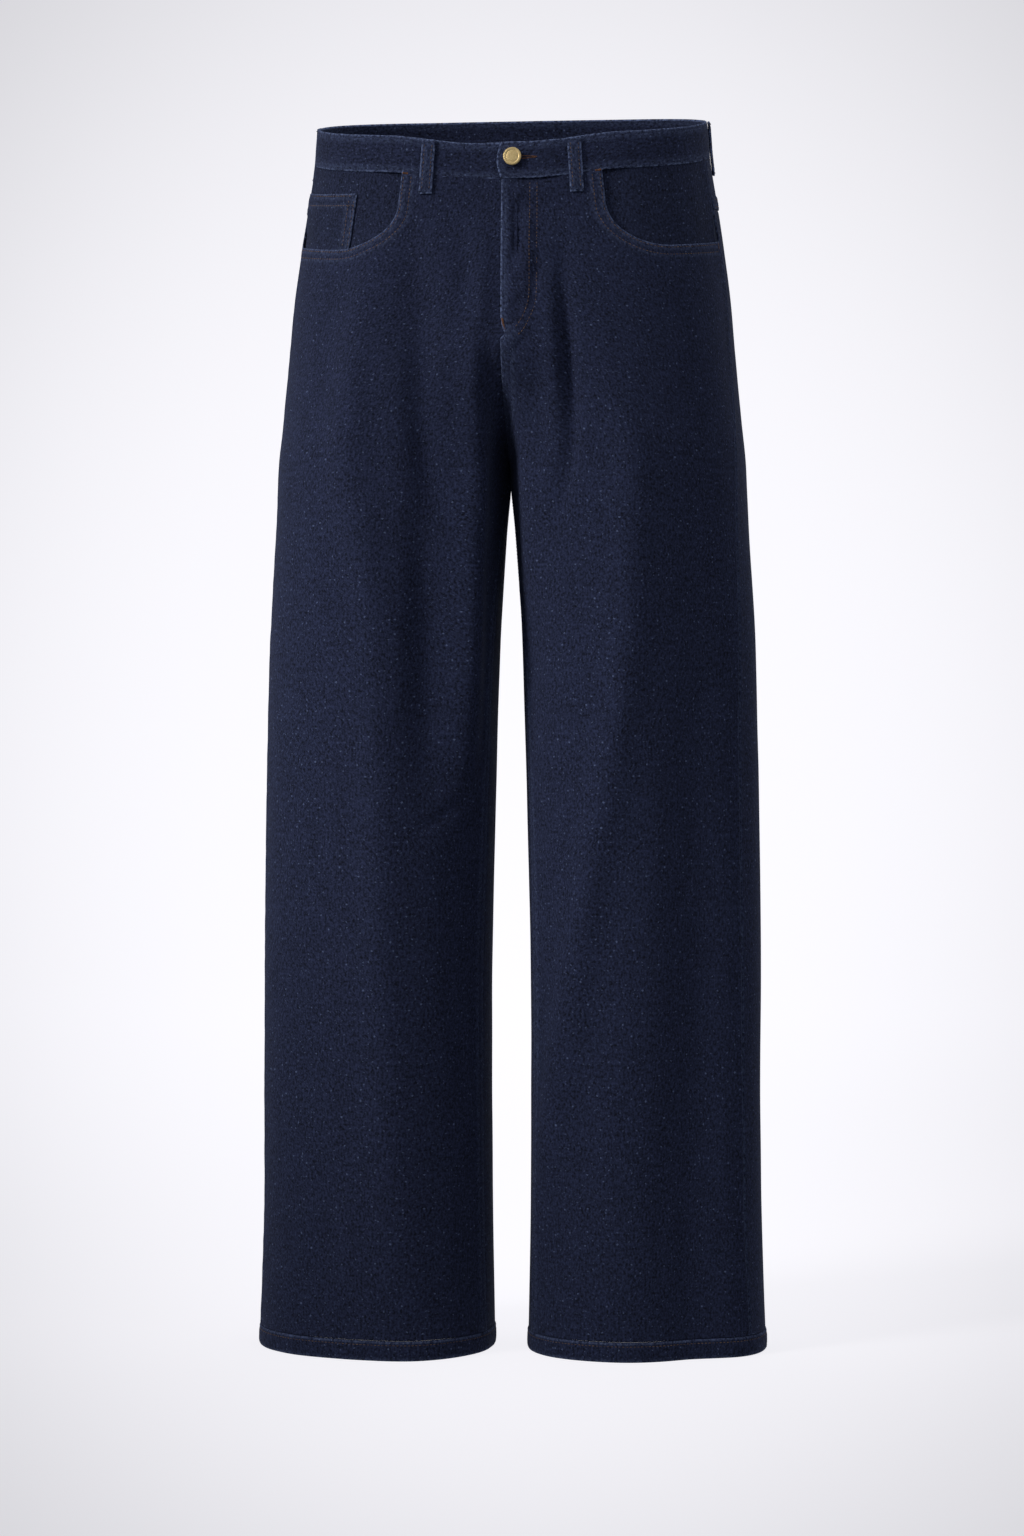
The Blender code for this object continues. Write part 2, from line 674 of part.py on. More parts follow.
def band_out(along):
    """How far the waistband's outer face stands off the form; the top end rides over the other."""
    return float(BAND_PROUD + BAND_LIFT * (1.0 - smoothstep(BAND_UNDERLAP + 0.001, 0.054, along)))


def on_band(along, height, out=0.0):
    """A point of the waistband, along from the centre front round by the wearer's left side."""
    turn = waist_half(+1) + waist_half(-1)
    side = +1
    s = along
    if waist_half(+1) < along:
        side = -1
        s = turn - along
    level = rim_level(side, abs(s)) - BAND_HEIGHT + height
    return lay(side, u_inner(side, level) + s, level, band_out(along) + out)


def make_waistband(denim, parts):
    """One strip all round, its top end on the wearer's left, the other end tucked under it."""
    turn = waist_half(+1) + waist_half(-1)
    end = turn + BAND_UNDERLAP
    heights = spread(0.0, BAND_HEIGHT, 0.011)
    outline = [(0.0 - BAND_END_BOW * math.sin(math.pi * h / BAND_HEIGHT), h) for h in heights[::-1]]
    half = waist_half(+1)
    run = waist_stations(0.0, half)[:-1] + [turn - s for s in waist_stations(waist_half(-1), 0.0)[:-1]]
    run += [turn + s for s in waist_stations(0.0, BAND_UNDERLAP)]
    outline += [(along, 0.0) for along in run[1:]]
    outline += [(end, h) for h in heights[1:]]
    outline += [(along, BAND_HEIGHT) for along in run[-2:0:-1]]
    cut_piece("waistband", outline, on_band, denim, parts, BAND)


def loop_piece(name, place, denim, parts, flip=False):
    """A belt loop: a narrow strip that bows off the cloth between its two tacked ends."""
    half = LOOP_WIDTH / 2.0
    rows = spread(0.0, LOOP_LENGTH, 0.0080)
    outline = [(-half, row) for row in rows[::-1]] + [(half, row) for row in rows]

    def laid(across, row):
        share = row / LOOP_LENGTH
        bow = LOOP_BOW * math.sin(math.pi * share) ** 0.6
        seat = SEAM_GAP + 0.0001 + (BAND_PROUD + 0.0002) * share
        return place(across, row, seat + bow + LOOP)

    cut_piece(name, outline, laid, denim, parts, LOOP, (), flip)


def make_belt_loops(denim, parts):
    """Two loops in front, one behind each side seam and one at the centre back."""
    for side in (+1, -1):
        def front(across, row, out, side=side):
            share = row / LOOP_LENGTH
            s = FRONT_LOOP_AT + 0.003 * (1.0 - share) + across
            level = rim_level(side, FRONT_LOOP_AT) - 0.0008 - LOOP_LENGTH + row
            return lay(side, u_inner(side, level) + s, level, out)

        def beside(across, row, out, side=side):
            s = u_widest(side, 1.04) - u_inner(side, 1.04)
            level = rim_level(side, s) - 0.0008 - LOOP_LENGTH + row
            return lay(side, u_widest(side, level) + SIDE_LOOP_BEHIND + across, level, out)

        loop_piece(f"belt_loop_front_{side_name(side)}", front, denim, parts, flip=side < 0)
        loop_piece(f"belt_loop_side_{side_name(side)}", beside, denim, parts, flip=side < 0)

    def behind(across, row, out):
        level = rim_level(+1, waist_half(+1)) - 0.0008 - LOOP_LENGTH + row
        return lay(+1, u_back(+1, level) + across, level, out)

    loop_piece("belt_loop_back", behind, denim, parts)


def make_button(brass, parts):
    """A turned button on its post, standing on the waistband's top end."""
    along, height = BUTTON_AT
    seat = on_band(along, height, SEAM_GAP)
    axis = on_band(along, height, SEAM_GAP + 0.001) - seat
    profile = ((0.0, 0.0046), (0.0028, 0.0046), (0.0042, 0.0040), (0.0052, 0.0040), (0.0062, 0.0047),
               (BUTTON_RADIUS - 0.0003, 0.0044), (BUTTON_RADIUS, 0.0036), (BUTTON_RADIUS - 0.0004, 0.0027),
               (0.0050, 0.0023), (0.0036, 0.0021), (0.0036, 0.0), (0.0, 0.0))
    mesh = bpy.data.meshes.new("button")
    mesh.from_pydata([(radius, 0.0, height) for radius, height in profile], [],
                     [(i, i + 1) for i in range(len(profile) - 1)])
    made = add_object("button", mesh, brass, parts)
    screw = made.modifiers.new("Turn", "SCREW")
    screw.axis = "Z"
    screw.steps = 24
    screw.render_steps = 24
    screw.use_merge_vertices = True
    screw.use_normal_flip = True
    screw.merge_threshold = 0.00002
    made.location = seat
    made.rotation_mode = "QUATERNION"
    made.rotation_quaternion = axis.to_track_quat("Z", "Y")


def make_label(cloth, parts):
    """A small woven label inside the back of the waistband."""
    turn = waist_half(+1)
    low, high = 0.003, 0.023
    left, right = turn - 0.0300, turn - 0.0190
    outline = [(left, low), (right, low), (right, high), (left, high)]

    def laid(along, height):
        return on_band(along, height, -BAND - SEAM_GAP)

    cut_piece("waist_label", outline, laid, cloth, parts, 0.0010)


def main():
    """Build every piece, each in its own object."""
    for old in list(bpy.data.objects):
        bpy.data.objects.remove(old, do_unlink=True)
    parts = bpy.data.collections.new("wide_leg_jeans")
    bpy.context.scene.collection.children.link(parts)
    denim = material("denim", COLOURS["denim"], 0.85)
    pocket_denim = material("pocket_denim", COLOURS["pocket_denim"], 0.85)
    brass = material("brass", COLOURS["brass"], 0.35, 1.0)
    label = material("label", COLOURS["label"], 0.80)
    make_fronts(denim, parts)
    make_backs(denim, parts)
    make_front_pockets(pocket_denim, parts)
    make_back_pockets(denim, parts)
    make_hems(denim, parts)
    make_waistband(denim, parts)
    make_belt_loops(denim, parts)
    make_button(brass, parts)
    make_label(label, parts)


main()
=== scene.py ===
# %% [markdown]
# # Wide leg jeans, filled out and standing on their hems
#
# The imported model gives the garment's pieces at their real size. Here each cloth piece is cut again on a
# fine grid and laid on the same form, so that folds, felled seams, stitches and wear can be shown.
# Everything is in metres, +Z up; the front faces -Y and +X is the wearer's left.

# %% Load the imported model
import math
from functools import lru_cache, partial

import bpy
import numpy as np
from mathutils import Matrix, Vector
from mathutils.geometry import delaunay_2d_cdt


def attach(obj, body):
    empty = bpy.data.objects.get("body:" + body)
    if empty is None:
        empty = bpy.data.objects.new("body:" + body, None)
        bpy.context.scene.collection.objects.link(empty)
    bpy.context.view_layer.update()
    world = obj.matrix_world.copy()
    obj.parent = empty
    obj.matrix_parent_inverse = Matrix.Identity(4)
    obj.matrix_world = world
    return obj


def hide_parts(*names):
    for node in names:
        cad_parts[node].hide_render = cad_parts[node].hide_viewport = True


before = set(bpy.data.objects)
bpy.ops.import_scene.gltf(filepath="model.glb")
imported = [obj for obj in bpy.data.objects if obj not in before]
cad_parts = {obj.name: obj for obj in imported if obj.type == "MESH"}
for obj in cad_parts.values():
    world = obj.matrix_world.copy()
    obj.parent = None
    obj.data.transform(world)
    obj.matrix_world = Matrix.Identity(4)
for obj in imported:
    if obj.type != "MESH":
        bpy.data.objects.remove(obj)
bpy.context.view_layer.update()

# %% [markdown]
# ## The form
#
# A pattern cutter thinks of trousers as flat pieces, and a dress stand gives them their shape. The stand
# here is a table of level sections, read smoothly at any height. A place on it is (u, level): u is the
# distance along the section from the front crease line, level the height before the waist tips forward.

# %% Sizes of the garment
HEM_HEIGHT = 0.017
FORK_LEVEL = 0.760
FORK_Y = -0.004
MIDDLE_Y = 0.0096
RIM_FRONT = 1.052
RIM_SIDE_RISE = 0.007
RIM_BACK_DROP = 0.0045
BAND_HEIGHT = 0.0315
WAIST_TIP = 0.28

DENIM = 0.0012
BAND = 0.0024
LOOP = 0.0018
SEAM_GAP = 0.0003

ROUNDNESS = 2.15
INNER_ROUNDNESS = 2.3
RISE_POWER = 1.6
RISE_HEIGHT_FRONT = 0.110
RISE_HEIGHT_BACK = 0.120
HOOK_HEIGHT = 0.130
QUARTER_STEPS = 60
TOUCH = 0.00001
FOLD_FADE = 1.2

# %% The table of sections
COLUMNS_OF_FORM = ("level", "inner", "front_crease", "front", "outer", "side_y", "back_crease", "back", "seat",
                   "outseam_left", "outseam_right", "inseam")
FORM = dict(zip(COLUMNS_OF_FORM, zip(
    (0.000,  .0148, .1176, -.0835, .2204, .0000, .1176, .0810, .0000, .0410, .0220, .0300),
    (0.140,  .0170, .1160, -.0835, .2158, .0000, .1160, .0810, .0000, .0420, .0225, .0310),
    (0.300,  .0175, .1160, -.0850, .2157, .0000, .1160, .0820, .0000, .0440, .0235, .0320),
    (0.450,  .0144, .1140, -.0885, .2138, .0000, .1140, .0860, .0000, .0450, .0240, .0320),
    (0.600,  .0103, .1110, -.0965, .2110, .0000, .1110, .0950, .0000, .0470, .0250, .0290),
    (0.700,  .0046, .1080, -.1050, .2055, .0010, .1080, .1100, .0000, .0490, .0265, .0180),
    (0.760, .00015, .1040, -.1085, .2030, .0020, .1050, .1170, .0000, .0470, .0270, .0000),
    (0.800, .00015, .0950, -.1100, .1990, .0030, .0950, .1270, .0060, .0400, .0280, .0000),
    (0.860, .00015, .0780, -.1120, .1935, .0040, .0800, .1320, .0100, .0330, .0290, .0000),
    (0.900, .00015, .0660, -.1120, .1900, .0040, .0700, .1300, .0080, .0290, .0290, .0000),
    (0.950, .00015, .0520, -.1100, .1835, .0030, .0560, .1220, .0030, .0270, .0270, .0000),
    (0.990, .00015, .0440, -.1060, .1772, .0010, .0460, .1130, .0000, .0260, .0260, .0000),
    (1.025, .00015, .0400, -.1040, .1718, .0000, .0420, .1080, .0000, .0260, .0260, .0000),
    (1.062, .00015, .0360, -.1020, .1682, .0000, .0380, .1040, .0000, .0260, .0260, .0000),
)))


def smoothstep(low, high, value):
    """0 below low, 1 above high, smooth between."""
    t = np.clip((np.asarray(value, float) - low) / (high - low), 0.0, 1.0)
    return t * t * (3.0 - 2.0 * t)


def bell(distance):
    """1 at a distance of 0, falling to a third at 1 and to nothing soon after."""
    return np.exp(-distance ** 2)


@lru_cache(maxsize=None)
def form_slopes(column):
    """Slopes for a curve through one column of FORM that never overshoots it."""
    at, values = np.array(FORM["level"]), np.array(FORM[column])
    step = np.diff(at)
    rate = np.diff(values) / step
    slopes = np.zeros(len(at))
    for i in range(1, len(at) - 1):
        if rate[i - 1] * rate[i] > 0.0:
            before = 2.0 * step[i] + step[i - 1]
            after = step[i] + 2.0 * step[i - 1]
            slopes[i] = (before + after) / (before / rate[i - 1] + after / rate[i])
    slopes[0], slopes[-1] = rate[0], rate[-1]
    return slopes


@lru_cache(maxsize=None)
def form(column, level):
    """One column of FORM, read smoothly at any level."""
    at, values = FORM["level"], FORM[column]
    level = min(max(level, at[0]), at[-1])
    i = min(int(np.searchsorted(at, level, side="right")) - 1, len(at) - 2)
    width = at[i + 1] - at[i]
    t = (level - at[i]) / width
    slopes = form_slopes(column)
    rise = t * t * (3.0 - 2.0 * t)
    return (values[i] + (values[i + 1] - values[i]) * rise
            + width * t * (1.0 - t) * ((1.0 - t) * slopes[i] - t * slopes[i + 1]))


# %% One level section
def tip(level):
    """How much one metre of depth lifts a point, so that the waist is low at the front."""
    return WAIST_TIP * smoothstep(FORK_LEVEL, RIM_FRONT, level)


def rise_share(level, height):
    """0 at the fork and 1 where the centre seam has reached the full depth of the section."""
    t = min(max((level - FORK_LEVEL) / height, 0.0), 1.0)
    return (1.0 - (1.0 - t) ** RISE_POWER) ** (1.0 / RISE_POWER)


@lru_cache(maxsize=None)
def section(level):
    """Half the body above the fork, or one leg below it, as arrays u, x and y."""
    inner, outer = form("inner", level), form("outer", level)
    front, back, side_y = form("front", level), form("back", level), form("side_y", level)
    hook = 1.0 - smoothstep(FORK_LEVEL, FORK_LEVEL + HOOK_HEIGHT, level)
    t = np.linspace(0.0, 1.0, QUARTER_STEPS + 1)
    turn = t * math.pi / 2.0
    power, inner_power = 2.0 / ROUNDNESS, 2.0 / INNER_ROUNDNESS

    def inner_quarter(crease, depth, share, seat=0.0):
        """From the centre seam to a crease: a flat S near the waist, a round thigh at the fork."""
        centre = FORK_Y + (depth - seat - FORK_Y) * share
        first = math.asin(share ** (1.0 / inner_power))
        turn = first + (math.pi / 2.0 - first) * t
        reach = (crease - inner) / max(math.cos(first), 0.05) ** inner_power
        flat_x = inner + (crease - inner) * t
        flat_y = centre + (depth - centre) * (1.0 - np.cos(math.pi * t)) / 2.0
        round_x = crease - reach * np.cos(turn) ** inner_power
        round_y = FORK_Y + (depth - FORK_Y) * np.sin(turn) ** inner_power
        return flat_x + (round_x - flat_x) * hook, flat_y + (round_y - flat_y) * hook

    def outer_quarter(crease, depth):
        """From a crease to the widest point."""
        return (crease + (outer - crease) * np.sin(turn) ** power,
                side_y + (depth - side_y) * np.cos(turn) ** power)

    front_crease, back_crease = form("front_crease", level), form("back_crease", level)
    x0, y0 = inner_quarter(front_crease, front, rise_share(level, RISE_HEIGHT_FRONT))
    x1, y1 = outer_quarter(front_crease, front)
    x2, y2 = outer_quarter(back_crease, back)
    x3, y3 = inner_quarter(back_crease, back, rise_share(level, RISE_HEIGHT_BACK), form("seat", level))
    x = np.concatenate([x0, x1[1:], x2[-2::-1], x3[-2::-1]])
    y = np.concatenate([y0, y1[1:], y2[-2::-1], y3[-2::-1]])
    length = np.concatenate([[0.0], np.cumsum(np.hypot(np.diff(x), np.diff(y)))])
    return length - length[QUARTER_STEPS], x, y


# %% [markdown]
# ## Reading the form fast
#
# Tens of thousands of points are laid, so the sections are sampled once into two tables, X and Y, with one
# row per level and one column per share of the way round. A point is then read between four entries. The
# rows are packed closely just above the fork, where the crotch curve turns fast.

# %% The form as tables
COLUMNS = 480
ROWS = np.concatenate([np.linspace(0.0, FORK_LEVEL - 0.001, 760),
                       FORK_LEVEL + np.linspace(0.0, 1.0, 60) ** 2 * 0.012,
                       np.linspace(FORK_LEVEL + 0.013, 1.064, 292)])
SHAPES = [section(float(level)) for level in ROWS]
SHARES = np.linspace(0.0, 1.0, COLUMNS + 1)
START = np.array([u[0] for u, _, _ in SHAPES])
END = np.array([u[-1] for u, _, _ in SHAPES])
WIDEST = np.array([u[2 * QUARTER_STEPS] for u, _, _ in SHAPES])
TABLE_X = np.array([np.interp(a + (b - a) * SHARES, s[0], s[1]) for a, b, s in zip(START, END, SHAPES)])
TABLE_Y = np.array([np.interp(a + (b - a) * SHARES, s[0], s[2]) for a, b, s in zip(START, END, SHAPES)])
RUNS = {name: np.array([form(name, float(level)) for level in ROWS])
        for name in ("inseam", "outseam_left", "outseam_right")}


def together(*values):
    """Numbers and arrays as float arrays of one shape."""
    return [np.asarray(a, float) for a in np.broadcast_arrays(*values)]


def u_inner(level):
    """u at the centre front, or at the innermost line of a leg."""
    return np.interp(level, ROWS, START)


def u_back(level):
    """u at the centre back, or at the innermost line of a leg reached round the back."""
    return np.interp(level, ROWS, END)


def u_widest(level):
    """u at the widest line of the section."""
    return np.interp(level, ROWS, WIDEST)


def u_outseam(side, level):
    """u of the side seam."""
    return u_widest(level) - np.interp(level, ROWS, RUNS["outseam_left" if side > 0 else "outseam_right"])


def inseam_run(level):
    """How far the inseam runs ahead of a leg's innermost line."""
    return np.interp(level, ROWS, RUNS["inseam"])


def on_form(side, u, level):
    """Points of the plain form; past a centre seam they carry on along the other half."""
    side, u, level = together(side, u, level)
    start, end = u_inner(level), u_back(level)
    share = (u - start) / (end - start)
    ring = level < FORK_LEVEL
    past = ~ring & ((share < -TOUCH) | (share > 1.0 + TOUCH))
    share = np.where(ring, share % 1.0, 1.0 - np.abs(1.0 - np.abs(share)))
    row = np.clip(np.searchsorted(ROWS, level, side="right") - 1, 0, len(ROWS) - 2)
    up = (level - ROWS[row]) / (ROWS[row + 1] - ROWS[row])
    left = np.minimum((share * COLUMNS).astype(int), COLUMNS - 1)
    along = share * COLUMNS - left
    x, y = ((1.0 - up) * (t[row, left] * (1.0 - along) + t[row, left + 1] * along)
            + up * (t[row + 1, left] * (1.0 - along) + t[row + 1, left + 1] * along)
            for t in (TABLE_X, TABLE_Y))
    return np.stack([side * np.where(past, -x, x), y - MIDDLE_Y, level + tip(level) * y], axis=-1)


def outward(side, u, level, probe=0.0015):
    """Unit normals of the form, pointing out of the cloth."""
    side, u, level = together(side, u, level)
    along_u = on_form(side, u + probe, level) - on_form(side, u - probe, level)
    along_level = on_form(side, u, level + probe) - on_form(side, u, level - probe)
    normal = side[..., None] * np.cross(along_u, along_level)
    return normal / np.linalg.norm(normal, axis=-1, keepdims=True)


print("leg round at the hem:", round(float(u_back(0.0) - u_inner(0.0)), 3),
      "half waist:", round(float(u_back(1.04) - u_inner(1.04)), 3))

# %% [markdown]
# ## Folds
#
# Heavy denim hangs in a few long, soft folds rather than many small ones. Each row below is one fold:
# where it starts and ends on the form, how deep it is and how wide. The largest ones are the imported
# model's own; the finer ones only show here. Cloth is never quite even between them, so two smooth random
# fields add hills a fraction of a millimetre high.

# %% The table of folds
FOLDS = (
    # side, top, low, u_top, u_low, depth, width
    (+1, 0.985, 0.690, +0.009, -0.065, -0.0085, 0.0060),
    (+1, 0.975, 0.700, -0.004, -0.080, +0.0035, 0.0080),
    (+1, 0.920, 0.430, +0.014, -0.018, +0.0060, 0.0180),
    (+1, 0.640, 0.040, +0.000, -0.110, +0.0085, 0.0170),
    (+1, 0.900, 0.580, -0.078, -0.104, +0.0080, 0.0220),
    (+1, 0.950, -0.500, +0.066, +0.042, -0.0190, 0.0450),
    (+1, 0.860, 0.420, +0.300, +0.270, -0.0050, 0.0260),
    (+1, 0.560, 0.080, +0.215, +0.235, -0.0040, 0.0240),
    (-1, 0.985, 0.770, -0.004, -0.106, -0.0050, 0.0110),
    (-1, 1.010, 0.560, +0.076, -0.016, +0.0065, 0.0170),
    (-1, 0.760, 0.000, +0.004, -0.026, +0.0045, 0.0160),
    (-1, 0.900, -0.450, +0.010, -0.060, +0.0130, 0.0480),
    (-1, 1.010, 0.820, +0.036, +0.000, -0.0030, 0.0120),
    (-1, 1.000, 0.680, +0.030, -0.064, -0.0080, 0.0145),
    (-1, 0.800, 0.420, -0.040, -0.048, -0.0065, 0.0150),
    (-1, 1.000, 0.680, -0.028, -0.098, +0.0100, 0.0135),
    (-1, 0.840, 0.440, -0.086, -0.084, +0.0145, 0.0160),
    (-1, 0.870, 0.440, +0.290, +0.262, -0.0050, 0.0260),
    (-1, 0.520, 0.060, +0.225, +0.205, -0.0040, 0.0240),
)
FINE_FOLDS = (
    # side, top, low, u_top, u_low, depth, width
    (+1, 0.930, 0.780, +0.030, +0.012, -0.0012, 0.014),
    (+1, 0.700, 0.560, -0.050, -0.040, -0.0012, 0.012),
    (+1, 0.300, 0.020, +0.012, +0.022, -0.0014, 0.018),
    (+1, 0.220, 0.010, -0.048, -0.056, -0.0014, 0.014),
    (+1, 0.820, 0.690, +0.350, +0.390, -0.0030, 0.010),
    (+1, 0.790, 0.660, +0.330, +0.372, -0.0022, 0.012),
    (-1, 0.890, 0.830, -0.036, -0.062, -0.0016, 0.007),
    (-1, 0.700, 0.520, -0.026, -0.020, +0.0010, 0.010),
    (-1, 0.490, 0.438, -0.107, -0.030, -0.0016, 0.009),
    (-1, 0.260, 0.010, -0.050, -0.056, -0.0016, 0.018),
    (-1, 0.200, 0.010, +0.034, +0.040, -0.0012, 0.014),
    (-1, 0.820, 0.700, +0.345, +0.388, -0.0030, 0.010),
    (-1, 0.780, 0.650, +0.330, +0.368, -0.0022, 0.012),
)


def soft_noise(a, b, cell_a, cell_b, seed):
    """Smooth random hills between -1 and 1, each about cell_a by cell_b metres."""
    table = np.random.default_rng(seed).uniform(-1.0, 1.0, (64, 64))
    i, j = a / cell_a + 200.0, b / cell_b + 200.0
    i0, j0 = np.floor(i).astype(int), np.floor(j).astype(int)
    fi, fj = i - i0, j - j0
    fi, fj = fi * fi * (3.0 - 2.0 * fi), fj * fj * (3.0 - 2.0 * fj)
    low = table[i0 % 64, j0 % 64] * (1.0 - fi) + table[(i0 + 1) % 64, j0 % 64] * fi
    high = table[i0 % 64, (j0 + 1) % 64] * (1.0 - fi) + table[(i0 + 1) % 64, (j0 + 1) % 64] * fi
    return low * (1.0 - fj) + high * fj


def relief(side, u, level):
    """Height of the folds and gentle waves above the plain form, nothing at a centre seam."""
    side, u, level = together(side, u, level)
    start, end = u_inner(level), u_back(level)
    ring = level < FORK_LEVEL
    u = np.where(ring, start + (u - start) % (end - start), u)
    folds = np.zeros(u.shape)
    for fold_side, top, low, u_top, u_low, depth, width in FOLDS + FINE_FOLDS:
        t = (top - level) / (top - low)
        here = (side == fold_side) & (t > 0.0) & (t < 1.0)
        fade = np.sin(math.pi * np.where(here, t, 0.0)) ** FOLD_FADE
        folds += depth * fade * bell((u - u_top - (u_low - u_top) * t) / width)
    centre = smoothstep(0.0, 0.022, np.minimum(u - start, end - u))
    waves = 0.0008 * soft_noise(u + 3.0 * side, level, 0.050, 0.110, 11)
    waves += 0.00025 * soft_noise(u + 3.0 * side, level, 0.018, 0.045, 12)
    return np.where(ring, folds, folds * centre) + waves * centre


def lay(side, u, level, out=0.0):
    """Points laid on the form with its folds, and moved out by out."""
    height = relief(side, u, level) + out
    return on_form(side, u, level) + outward(side, u, level) * height[..., None]


# %% [markdown]
# ## Edges, and what sewing does to them
#
# Most of what makes trousers look sewn happens within a centimetre of an edge. A rolled edge is turned
# under and stitched, so it is thick and round. An open seam stands up a little on either side of a fine
# groove. A felled seam is one panel folded over the other and stitched twice: the upper side is a flat
# ridge, the lower side carries on under it and is sunk. Each point of an outline says which of these its
# edge is, and the cloth near it takes that shape, its stitching rows pressed in.

# %% Shapes of the edges
PLAIN, ROLLED, OPEN, OVER, UNDER, FOLDED = range(6)
STITCH_ROWS = {ROLLED: (0.0022, 0.0088), OVER: (0.0020, 0.0082), FOLDED: (0.0022,)}
STITCH_PRESS = 0.00028
TUCK = 0.0050
INTO_BAND = 0.0030


def edge_height(kind, d):
    """How far the cloth stands up at a distance d from an edge of one kind."""
    nick = np.clip(1.0 - d / 0.0012, 0.0, 1.0) ** 2
    height = {
        PLAIN: 0.0 * d,
        ROLLED: 0.0006 * (1.0 - smoothstep(0.0095, 0.0125, d)) - 0.0006 * nick,
        OPEN: 0.0007 * bell(d / 0.0045) - 0.0009 * bell(d / 0.0009),
        OVER: 0.0010 * (1.0 - smoothstep(0.0095, 0.0120, d)) - 0.0004 * nick,
        UNDER: -0.0008 * (1.0 - smoothstep(TUCK - 0.0010, TUCK + 0.0022, d)),
        FOLDED: -0.0007 * nick,
    }[kind]
    for row in STITCH_ROWS.get(kind, ()):
        height = height - STITCH_PRESS * bell((d - row) / 0.0009)
    return height


WEAR = {PLAIN: (0.0, 0.001), ROLLED: (0.90, 0.0011), OPEN: (0.40, 0.0012), OVER: (0.60, 0.0010),
        UNDER: (0.0, 0.001), FOLDED: (1.0, 0.0014)}


def edge_wear(kind, d):
    """How pale the dye has rubbed at a distance d from an edge of one kind."""
    strength, width = WEAR[kind]
    worn = strength * bell(d / width)
    for row in STITCH_ROWS.get(kind, ()):
        worn = np.maximum(worn, 0.28 * strength * bell((d - row - 0.0016) / 0.0016))
    return worn


def edge(u, level, kind=PLAIN):
    """Points of one edge of an outline, with the kind of edge that they start."""
    u, level, kind = np.broadcast_arrays(np.atleast_1d(u), level, kind)
    return np.column_stack([u, level, kind]).astype(float)


def outline_of(edges):
    """The whole outline from its named edges."""
    return np.concatenate(list(edges.values()))


def steps(start, end, size=0.004):
    """Evenly spaced numbers from start to end, both included, no more than size apart."""
    return np.linspace(start, end, max(2, math.ceil(abs(end - start) / size - 1e-6) + 1))


def to_edges(outline, points):
    """Distances from points to the outline's edges, one array per kind, and what lies inside it."""
    start, kinds = outline[:, :2], outline[:, 2].astype(int)
    span = np.roll(start, -1, axis=0) - start
    size = (span * span).sum(axis=1)
    gaps = {kind: [] for kind in sorted(set(kinds))}
    inside = []
    for part in np.array_split(points, len(points) // 1500 + 1):
        to = part[:, None, :] - start
        t = np.clip((to * span).sum(axis=2) / size, 0.0, 1.0)
        distance = np.hypot(to[..., 0] - span[:, 0] * t, to[..., 1] - span[:, 1] * t)
        for kind in gaps:
            gaps[kind].append(distance[:, kinds == kind].min(axis=1))
        above = start[:, 1] > part[:, 1:2]
        crosses = above != np.roll(above, -1, axis=1)
        rise = np.where(span[:, 1] == 0.0, 1.0, span[:, 1])
        meets = start[:, 0] + span[:, 0] * (part[:, 1:2] - start[:, 1]) / rise
        inside.append(np.count_nonzero(crosses & (part[:, 0:1] < meets), axis=1) % 2 == 1)
    return {kind: np.concatenate(parts) for kind, parts in gaps.items()}, np.concatenate(inside)


def inset(outline, width):
    """The outline's points moved inwards by width."""
    here = outline[:, :2]
    away = np.roll(here, -1, axis=0) - here
    away /= np.linalg.norm(away, axis=1)[:, None]
    into = np.roll(away, 1, axis=0)
    normal = np.column_stack([-away[:, 1] - into[:, 1], away[:, 0] + into[:, 0]])
    normal /= np.maximum(np.linalg.norm(normal, axis=1), 1e-9)[:, None]
    share = np.maximum((normal * np.column_stack([-into[:, 1], into[:, 0]])).sum(axis=1), 0.5)
    return here + normal * (width / share)[:, None]


# %% [markdown]
# ## Cutting a piece of cloth
#
# A piece is cut flat, as on a table. Its outline is filled with a triangulation whose points are rows
# just inside the edge, where seams need detail, and an even triangular grid elsewhere. Every point is
# then laid on the form, and Solidify gives the cloth its thickness. The flat coordinates stay with the
# mesh as its UV map, in metres, so the weave follows the thread of each piece.

# %% A tool that cuts one piece
GRID = 0.0042
EDGE_ROWS = (0.0010, 0.0022, 0.0034, 0.0055, 0.0076, 0.0088, 0.0101, 0.0125)
pieces = {}


def make_piece(name, verts, faces, *finishes):
    """A new smooth mesh object at the origin."""
    mesh = bpy.data.meshes.new(name)
    mesh.from_pydata([tuple(vert) for vert in verts], [], faces)
    mesh.shade_smooth()
    for finish in finishes:
        mesh.materials.append(finish)
    made = bpy.data.objects.new(name, mesh)
    bpy.context.scene.collection.objects.link(made)
    pieces[name] = made
    return made


def store(made, flat, wear):
    """Keep the flat coordinates as the UV map, and the wear as a point attribute."""
    mesh = made.data
    corner = np.empty(len(mesh.loops), dtype=int)
    mesh.loops.foreach_get("vertex_index", corner)
    mesh.uv_layers.new(name="cloth").data.foreach_set("uv", flat[corner].astype(np.float32).ravel())
    mesh.attributes.new("wear", "FLOAT", "POINT").data.foreach_set("value", wear.astype(np.float32))


